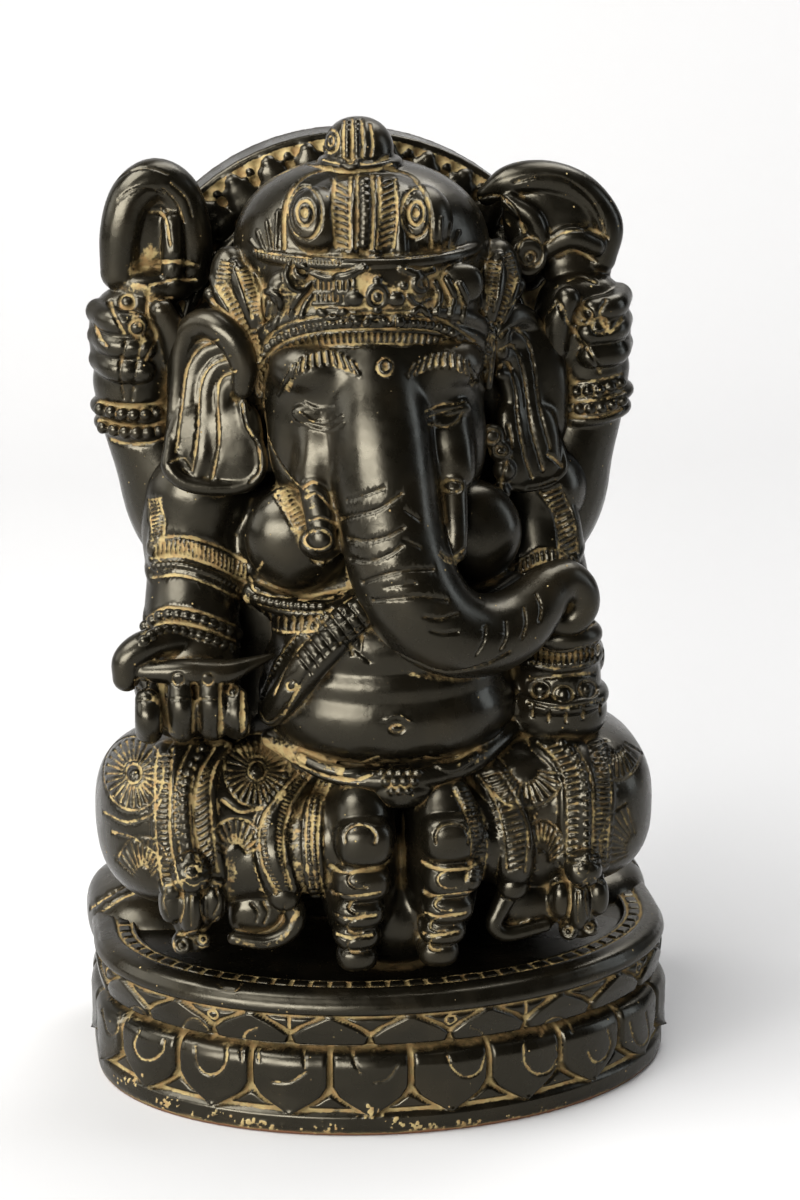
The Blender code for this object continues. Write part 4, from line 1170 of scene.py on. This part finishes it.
PLUMES = (
    ((250, 348, -9, 1.6), (238, 318, -8, 3), (224, 294, -6, 2.8), (214, 278, -4, 1.4)),
    ((257, 332, -12, 2), (252, 306, -12, 3.2), (244, 284, -10, 3.4), (235, 266, -8, 2)),
    ((238, 318, -6, 1.6), (222, 306, -3, 2.4), (211, 294, -2, 2)),
    ((260, 394, -11, 1.2), (257, 366, -11, 1.8), (254, 340, -11, 1.8)),
)
for side in (-1, 1):
    for plume in PLUMES:
        rows = [spot(*row) for row in plume]
        limb([(-side * x, y, z, radius) for x, y, z, radius in rows])
    ball((side * 32, -3, 208), (6.5, 6, 11), turn=(0, side * 12, 0))
crown = run_together("crown", skin=0.42, ease=3)
clay = np.zeros(len(crown.data.vertices))


def eye_of(centre, inner, outer):
    """A medallion shaped like an eye: a raised ring and a pit in it, inside a long outline."""
    made = ring(centre, outer, 0.5, -0.6, 0.7) + ring(centre, inner, 0.55, -0.6, 0.9)
    made += ring(centre, (inner[0] * 0.62, inner[1] * 0.62), 0.6, 0.5, 0)
    made += ring(centre, (inner[0] * 0.25, inner[1] * 0.25), 0.5, -0.5, 0.9)
    made += ring(centre, (outer[0] * 0.8, outer[1] * 0.8), 0.35, -0.25, 0.3, 100, 250)
    return made


carve(
    crown, clay,
    # The finial with its medallion and ribs, on a ring with a clasp.
    ring((330, 141), (8, 12), 0.5, -0.6), ring((330, 141), (3, 5), 0.45, -0.4, 0.8),
    line(0.5, 0.45, 0.9, "344,120 343,140 344,156", "352,118 352,138 352,157",
        "361,119 363,140 362,157", "370,124 373,141 371,156"),
    beads("348,122 347,156", 8, 0.8, 0.6), beads("357,121 357,157", 8, 0.8, 0.6),
    line(0.5, 0.45, 0.9, "312,156 340,163 370,163 388,157", "308,164 340,171 375,170 392,163"),
    roll(0.9, 0.9, "340,160 350,168 360,160"),
    # The crest plate: its outline, two eye medallions and three beaded bands between them.
    line(0.6, 0.8, 0.9, "284,248 284,215 290,192 306,176 330,168",
        "386,168 410,175 424,192 431,215 431,248"),
    eye_of((305, 213), (8, 13), (17, 27)), eye_of((416, 213), (7, 12), (14, 25)),
    line(0.5, 0.7, 0.9, "334,178 333,212 336,247", "350,176 350,212 350,248", "357,175 357,212 356,248",
        "372,175 373,212 371,248", "379,176 380,212 377,248", "395,178 397,212 393,247"),
    ribs("336,182 335,212 338,245", "347,188 347,218 348,249", 10, 0.5, -0.9, 0.1),
    beads("365,182 366,212 364,244", 9, 1.6, 1.2),
    ribs("382,185 383,216 380,248", "392,180 394,210 390,243", 10, 0.5, -0.9, 0.1),
    # Fans at the foot of the dome, and the ticked ring under the crest.
    line(2.0, 0.05, 0.5, "268,236"), line(1.6, 0.05, 0.4, "450,236"),
    roll(0.6, 0.55, "276,248 278,212", "271,248 267,222", "264,249 258,232"),
    roll(0.5, 0.5, "258,250 251,240"), roll(0.6, 0.5, "440,248 441,218", "447,247 450,224"),
    roll(0.5, 0.5, "454,246 459,232"), line(0.5, 0.6, 0.9, "254,250 300,256 360,258 420,256 462,248"),
    ribs("256,251 300,257 340,259", "256,256 300,262 340,264", 24, 0.34, -0.4, 0.5),
    # The brow bands, ribbed like cord.
    line(0.42, 0.8, 0.7, "255,384 266,358 290,340 333,331 413,330 448,338 474,360 484,384"),
    line(0.42, 0.7, 0.7, "258,356 274,332 300,320 340,315 410,314 446,322 474,342"),
    line(0.5, 0.7, 0.7,
        "258,402 268,374 288,357 314,349 345,345 400,345 432,348 456,358 474,377 482,400"),
    ribs("257,388 268,362 291,344 333,335 413,334 446,342 471,363 481,386",
        "261,396 272,371 292,354 335,344 411,343 442,351 466,371 477,394", 44, 0.42, -0.75, 0.55),
    beads("257,370 270,345 296,330 338,323 411,322 447,330 474,351 483,370", 34, 1.15, 0.9))
# The drum's ornament stands on a ground of clay: scrolls, a hung roll, plaques, bosses, a flower in
# the middle, flames and leaves beside it, and pendants on the brow band.
carve(
    crown, clay,
    line(2.2, 0.3, 0.6, "290,276 340,280 400,280 440,276", "286,290 340,290 400,292 442,288"),
    line(2.0, 0.3, 0.6, "284,304 330,301 400,304 446,300"))
carve(
    crown, clay,
    ring((302, 271), (6, 6), 0.7, 1, 0), roll(0.8, 1.0, "290,264 286,276 292,288 303,290 312,282"),
    roll(1.1, 1.3, "310,270 326,277 346,276 364,268"),
    ribs("316,280 336,283 354,280", "316,287 336,290 354,287", 8, 0.55, 0.9),
    roll(0.7, 0.9, "314,292 348,292", "314,304 348,304"),
    ribs("318,295 346,295", "318,301 346,301", 7, 0.55, 0.8), beads("355,298 396,299", 2, 2.3, 1.7),
    beads("356,318 398,320", 2, 1.9, 1.4), ring((377, 296), (9, 10), 0.95, 1.3, 0),
    beads("377,296 377,296", 1, 1.4, 1.9), beads("377,281 377,311", 2, 1.3, 1.1),
    roll(0.9, 1.1, "292,314 296,300 305,290", "302,316 306,304 312,296"),
    roll(0.9, 1.0, "262,322 258,306 266,292 278,296 281,312 274,326"),
    roll(0.7, 0.9, "268,316 270,302"),
    roll(0.9, 1.0, "320,312 332,317 344,312", "366,324 376,314 388,324"),
    ring((420, 284), (6, 7), 0.8, 1.1, 0), roll(1.0, 1.2, "402,268 416,274 432,270"),
    roll(0.8, 1.0, "408,296 416,304 428,300", "410,314 420,308 430,316"),
    roll(0.9, 1.1, "434,282 440,296 436,312", "446,278 454,296 450,314"),
    roll(0.9, 1.0, "460,284 466,300 462,320"), beads("404,286 404,286", 1, 1.2, 1.0))
carve(
    crown, clay,
    line(0.5, 0.45, 0.9, "236,268 244,290 252,318", "250,268 257,290 261,318"),
    ribs("237,270 244,290 251,314", "249,268 256,288 260,312", 11, 0.45, -0.7, 0.9),
    line(0.5, 0.45, 0.9, "216,286 228,306 240,332", "226,284 238,304 248,332"),
    ribs("219,288 230,306 241,328", "226,284 237,302 247,326", 9, 0.45, -0.7, 0.9),
    line(0.5, 0.45, 0.9, "212,300 222,310 236,320", "246,344 252,362 258,392"),
    ribs("221,262 217,276 216,290", "232,264 230,278 228,290", 7, 0.42, -0.6, 0.7),
    ribs("248,332 254,352 260,378", "256,330 261,350 265,374", 9, 0.38, -0.5, 0.7),
    line(0.5, 0.45, 0.9, "256,336 260,362 262,388"), ring((252, 350), (3, 6), 0.4, -0.5),
    both_sides=True)
carve(
    crown, clay,
    smear(0.8, 0.8, "228,238 240,206 264,183 298,166"), smear(1.6, 0.5, "262,256 262,300 266,340"))
complete(crown, clay, 130000)

# The halo behind the head: a disc with a smooth rolled rim, a row of leaves on a clay ground and
# an inner ring.
HALO_CENTRE_Z = 182.0
HALO_RADIUS = 60.5
HALO_LEAVES = 13
HALO_SWEEP = 63
RIM_THICK = 1.2
rim_radius = HALO_RADIUS - RIM_THICK
for y in (23.2, 32):
    hoop((0, y, HALO_CENTRE_Z), (rim_radius, rim_radius), RIM_THICK, (90, 0, 0))
bpy.ops.mesh.primitive_cylinder_add(
    vertices=160, radius=(HALO_RADIUS - 0.3) * MM, depth=10.0 * MM,
    location=(0, 27.7 * MM, HALO_CENTRE_Z * MM), rotation=(math.pi / 2, 0, 0))
take_form()
hoop((0, 21.5, HALO_CENTRE_Z), (45, 45), 1.8, (90, 0, 0))
for i in range(HALO_LEAVES):
    tilt = math.radians(-HALO_SWEEP + 2 * HALO_SWEEP * i / (HALO_LEAVES - 1))
    for reach, size in ((50.6, (5, 2.6, 4)), (53.6, (4, 2.3, 3.6)), (56.4, (2.2, 1.9, 2.2))):
        ball((reach * math.sin(tilt), 21.7, HALO_CENTRE_Z + reach * math.cos(tilt)), size,
             turn=(0, math.degrees(tilt), 0), power=2.2)
    between = tilt + math.radians(HALO_SWEEP / (HALO_LEAVES - 1))
    ball((56.6 * math.sin(between), 22.2, HALO_CENTRE_Z + 56.6 * math.cos(between)), (1.6, 1.4, 1.5))
halo = run_together("halo", skin=0.5)
# Clay fills the ground of the band between the leaves, on the front only.
points = points_of(halo)
across, upward = points[:, 0] + LEAN * (points[:, 2] - LEAN_FROM), points[:, 2] - HALO_CENTRE_Z
reach = np.hypot(across, upward)
band = smooth_step(45.6, 46.6, reach) * smooth_step(HALO_RADIUS - 1.2, HALO_RADIUS - 2, reach)
clay = 0.75 * band * smooth_step(21.0, 21.7, points[:, 1]) * (points[:, 1] < 23.5)
clay = np.maximum(clay, 0.6 * (np.abs(reach - 43.0) < 0.5) * (points[:, 1] < 22.5))
complete(halo, clay, 45000)

# The two rear arms, raised beside the head with beads at the wrist. The left hand holds up a noose
# like a hood, and the right one a shell-like fan.
ARM_MARKS = {
    -1: (
        line(0.35, 0.3, 0.5, "112,184 128,172 150,168 168,174"),
        line(0.4, 0.3, 0.4, "118,200 132,190 150,188 164,194"),
        line(0.35, 0.4, 0.4, "163,188 176,202 184,222"),
        line(0.35, 0.4, 0.3, "170,182 186,198 192,216"),
        line(0.5, 0.5, 0.9, "150,212 160,212 166,222 170,245"),
        line(0.6, 0.5, 0.9, "158,262 180,262 198,266"), line(0.5, 0.5, 0.9, "150,285 175,280 196,280"),
        line(0.6, 0.6, 0.9, "110,302 116,318 124,334", "95,325 100,338 106,346"),
        ring((127, 302), (7, 7), 0.5, -0.5), ring((137, 328), (8, 8), 0.5, -0.5),
        beads("127,302 137,328", 2, 1.6, 1.0), line(0.5, 0.6, 0.9, "148,292 148,318 156,336 146,360"),
        line(0.45, 0.4, 0.9, "152,300 172,298"),
        line(0.5, 0.4, 0.5, "126,342 120,370 124,398", "142,340 136,370 132,400"),
        beads("100,409 122,414 146,414 168,409", 7, 1.55, 1.5),
        beads("103,427 125,432 148,432 170,427", 7, 1.55, 1.5),
        line(0.6, 0.5, 0.9, "98,420 122,426 148,426 172,419", "98,402 122,406 148,405 170,399",
            "106,438 126,444 150,443 172,436"),
    ),
    1: (
        line(0.6, 0.4, 0.7, "515,182 538,176 562,178 584,192 598,210 604,232"),
        line(0.5, 0.5, 0.9, "478,198 498,196 514,208 524,232", "545,244 564,232 590,230 608,238",
            "556,256 576,250 596,262"),
        ring((530, 252), (13, 15), 0.5, -0.5), ring((530, 258), (5, 6), 0.5, -0.5),
        line(0.5, 0.5, 0.9, "568,280 580,276 596,282"), line(0.6, 0.5, 0.9, "556,300 568,322 580,340"),
        ring((583, 316), (9, 8), 0.5, -0.5), ring((600, 326), (8, 8), 0.5, -0.5),
        line(0.6, 0.6, 0.9, "606,300 600,316 610,332 622,318"),
        line(0.5, 0.5, 0.9, "548,312 558,302 566,314"), line(0.5, 0.4, 0.5, "574,330 590,352 600,372"),
        beads("554,388 576,392 600,390 621,383", 7, 1.5, 1.4),
        beads("557,405 579,409 602,408 622,401", 7, 1.5, 1.4),
        line(0.6, 0.5, 0.9, "552,397 576,401 602,399 624,391", "552,380 576,383 602,380 622,374",
            "556,413 580,417 602,416 622,408"),
    ),
}
ARM_CLAY = {
    -1: (smear(2.4, 0.8, "130,268 145,262 150,250"),
         smear(1.6, 0.6, "125,285 150,292", "133,312 142,340")),
    1: (smear(2.0, 0.7, "508,222 506,208"), smear(2.0, 0.5, "556,290 560,310")),
}
for side in (-1, 1):
    limb([(side * 40, 8, 138, 14), (side * 47.5, 9, 149, 14), (side * 52, 9, 161, 12.4),
          (side * 57, 8.5, 172, 9.8), (side * 58.5, 8, 183, 10.2)])
    ball((side * 56.5, 7.5, 194), (12.4, 10, 14), power=2.4)
    soften(10)
    hoop((side * 57.5, 8.2, 171.5), (9.8, 9.6), 1.8, (0, side * -8, 0))
    hoop((side * 58.2, 8.2, 175.8), (9.8, 9.6), 1.8, (0, side * -8, 0))
    for z, reach in ((201.5, 8.5), (195.5, 10), (189.5, 9.5)):
        limb([(side * 66, 6, z, 3.4), (side * 63, -1, z - 1, 3.4),
              (side * (66 - reach), -3, z - 1.5, 3.1)])
    limb([(side * 48, 0, 190, 3.4), (side * 48.5, -2, 197, 3.5), (side * 51, -2.6, 203, 3.2)])
    if side < 0:
        ball((-51.5, 8.5, 207.5), (9.8, 7.8, 4.4), power=2.6)
        limb([(-60.5, 7, 211, 4.6), (-59.2, 7, 221, 5.4), (-56, 7.5, 229.6, 5.6), (-50, 8, 233.6, 5.6),
              (-44.3, 8.5, 229.6, 5.6), (-42, 8.5, 219, 5.4), (-42.6, 8.5, 210, 4.8)])
        ball((-51, 11, 222), (10.5, 7, 11), power=2.6)
        limb([(-47.5, 3.5, 210, 3), (-47, 3, 217, 2.8), (-46.8, 3.4, 224, 2.4)])
    else:
        limb([(33.5, 12, 227, 2.6), (39.5, 10, 231, 4), (48.5, 9, 231.6, 4.4), (57.5, 9, 227.8, 4.5),
              (63.2, 9, 219.5, 4.6), (61.5, 9, 211, 4.4)])
        ball((51, 12, 221), (13.5, 7, 11.5), power=2.4)
        ball((56, 11, 208.5), (9, 5.5, 6.5), power=2.4)
        limb([(38.5, 7, 226, 2.4), (44, 5, 222, 2.6), (46, 5, 215, 2.4)])
        limb([(47, 5, 214, 2.2), (53, 3.5, 217.5, 3), (59.5, 4.5, 215, 2.8)])
        hoop((42, 3, 212.5), (3.4, 3.4), 1.5, (90, 0, 0))
        ball((42, 6, 212), (4.5, 4.5, 6.4))
    arm = run_together("left_rear_arm" if side < 0 else "right_rear_arm", ease=5)
    clay = np.zeros(len(arm.data.vertices))
    carve(arm, clay, *ARM_MARKS[side])
    carve(arm, clay, *ARM_CLAY[side])
    complete(arm, clay, 45000)

# The studio: a pale sheet that runs up behind the figure, a large soft light from the front left,
# a weak one from the right, and light on the sheet itself.
SHEET_HALF_WIDTH = 1.6
SHEET_FRONT = -1.3
SHEET_BACK = 1.1
SHEET_TOP = 1.9
BEND = 0.5
sweep = [(SHEET_FRONT, 0.0), (SHEET_BACK - BEND, 0.0)]
bend_turns = np.radians(np.arange(6, 90, 6))
sweep += [(SHEET_BACK - BEND + BEND * math.sin(a), BEND - BEND * math.cos(a)) for a in bend_turns]
sweep += [(SHEET_BACK, BEND), (SHEET_BACK, SHEET_TOP)]
sheet_mesh = bpy.data.meshes.new("studio_sheet")
corners = [(side * SHEET_HALF_WIDTH, y, z) for y, z in sweep for side in (-1, 1)]
strips = [(2 * i, 2 * i + 1, 2 * i + 3, 2 * i + 2) for i in range(len(sweep) - 1)]
sheet_mesh.from_pydata(corners, [], strips)
studio_sheet = bpy.data.objects.new("studio_sheet", sheet_mesh)
bpy.context.scene.collection.objects.link(studio_sheet)
sheet_mesh.shade_smooth()
paper = bpy.data.materials.new("pale_paper")
paper.use_nodes = True
paper_shader = paper.node_tree.nodes["Principled BSDF"]
paper_shader.inputs["Base Color"].default_value = (0.45, 0.45, 0.453, 1.0)
paper_shader.inputs["Roughness"].default_value = 0.9
sheet_mesh.materials.append(paper)


def soft_light(name, place, aim, size, power, colour):
    light = bpy.data.objects.new(name, bpy.data.lights.new(name, "AREA"))
    bpy.context.scene.collection.objects.link(light)
    light.data.shape = "RECTANGLE"
    light.visible_camera = False
    light.data.size, light.data.size_y = size
    light.data.energy = power
    light.data.color = colour
    light.location = place
    light.rotation_euler = (Vector(aim) - Vector(place)).to_track_quat("-Z", "Y").to_euler()


soft_light("key_light", (-1.08, -1.44, 0.62), (0, 0, 0.13), (1.44, 0.76), 54.0, (1.0, 0.985, 0.96))
soft_light("top_light", (-0.62, -0.18, 1.0), (0, 0, 0.15), (0.7, 0.6), 14.0, (1.0, 0.99, 0.97))
soft_light("edge_light", (0.95, -0.10, 0.40), (0, 0, 0.12), (0.25, 0.7), 1.6, (0.78, 0.87, 1.0))
soft_light("back_sweep", (-0.1, 1.5, 0.47), (-0.1, 0, 0.30), (3.0, 0.84), 10.0, (1.0, 1.0, 1.0))
soft_light("left_sweep", (-2.2, 0.18, 0.86), (0, 0, 0.15), (1.4, 1.0), 12.5, (1.0, 1.0, 0.99))
soft_light("sheet_light", (0.6, 0.55, 1.5), (0.45, 0.7, 0.0), (1.5, 0.7), 22.0, (1.0, 0.99, 0.98))
world = bpy.data.worlds.new("studio")
bpy.context.scene.world = world
world.use_nodes = True
backdrop = world.node_tree.nodes["Background"]
backdrop.inputs["Color"].default_value = (0.95, 0.97, 1.0, 1.0)
backdrop.inputs["Strength"].default_value = 0.015
bpy.context.scene.view_settings.view_transform = "Standard"
bpy.context.scene.view_settings.look = "Medium High Contrast"
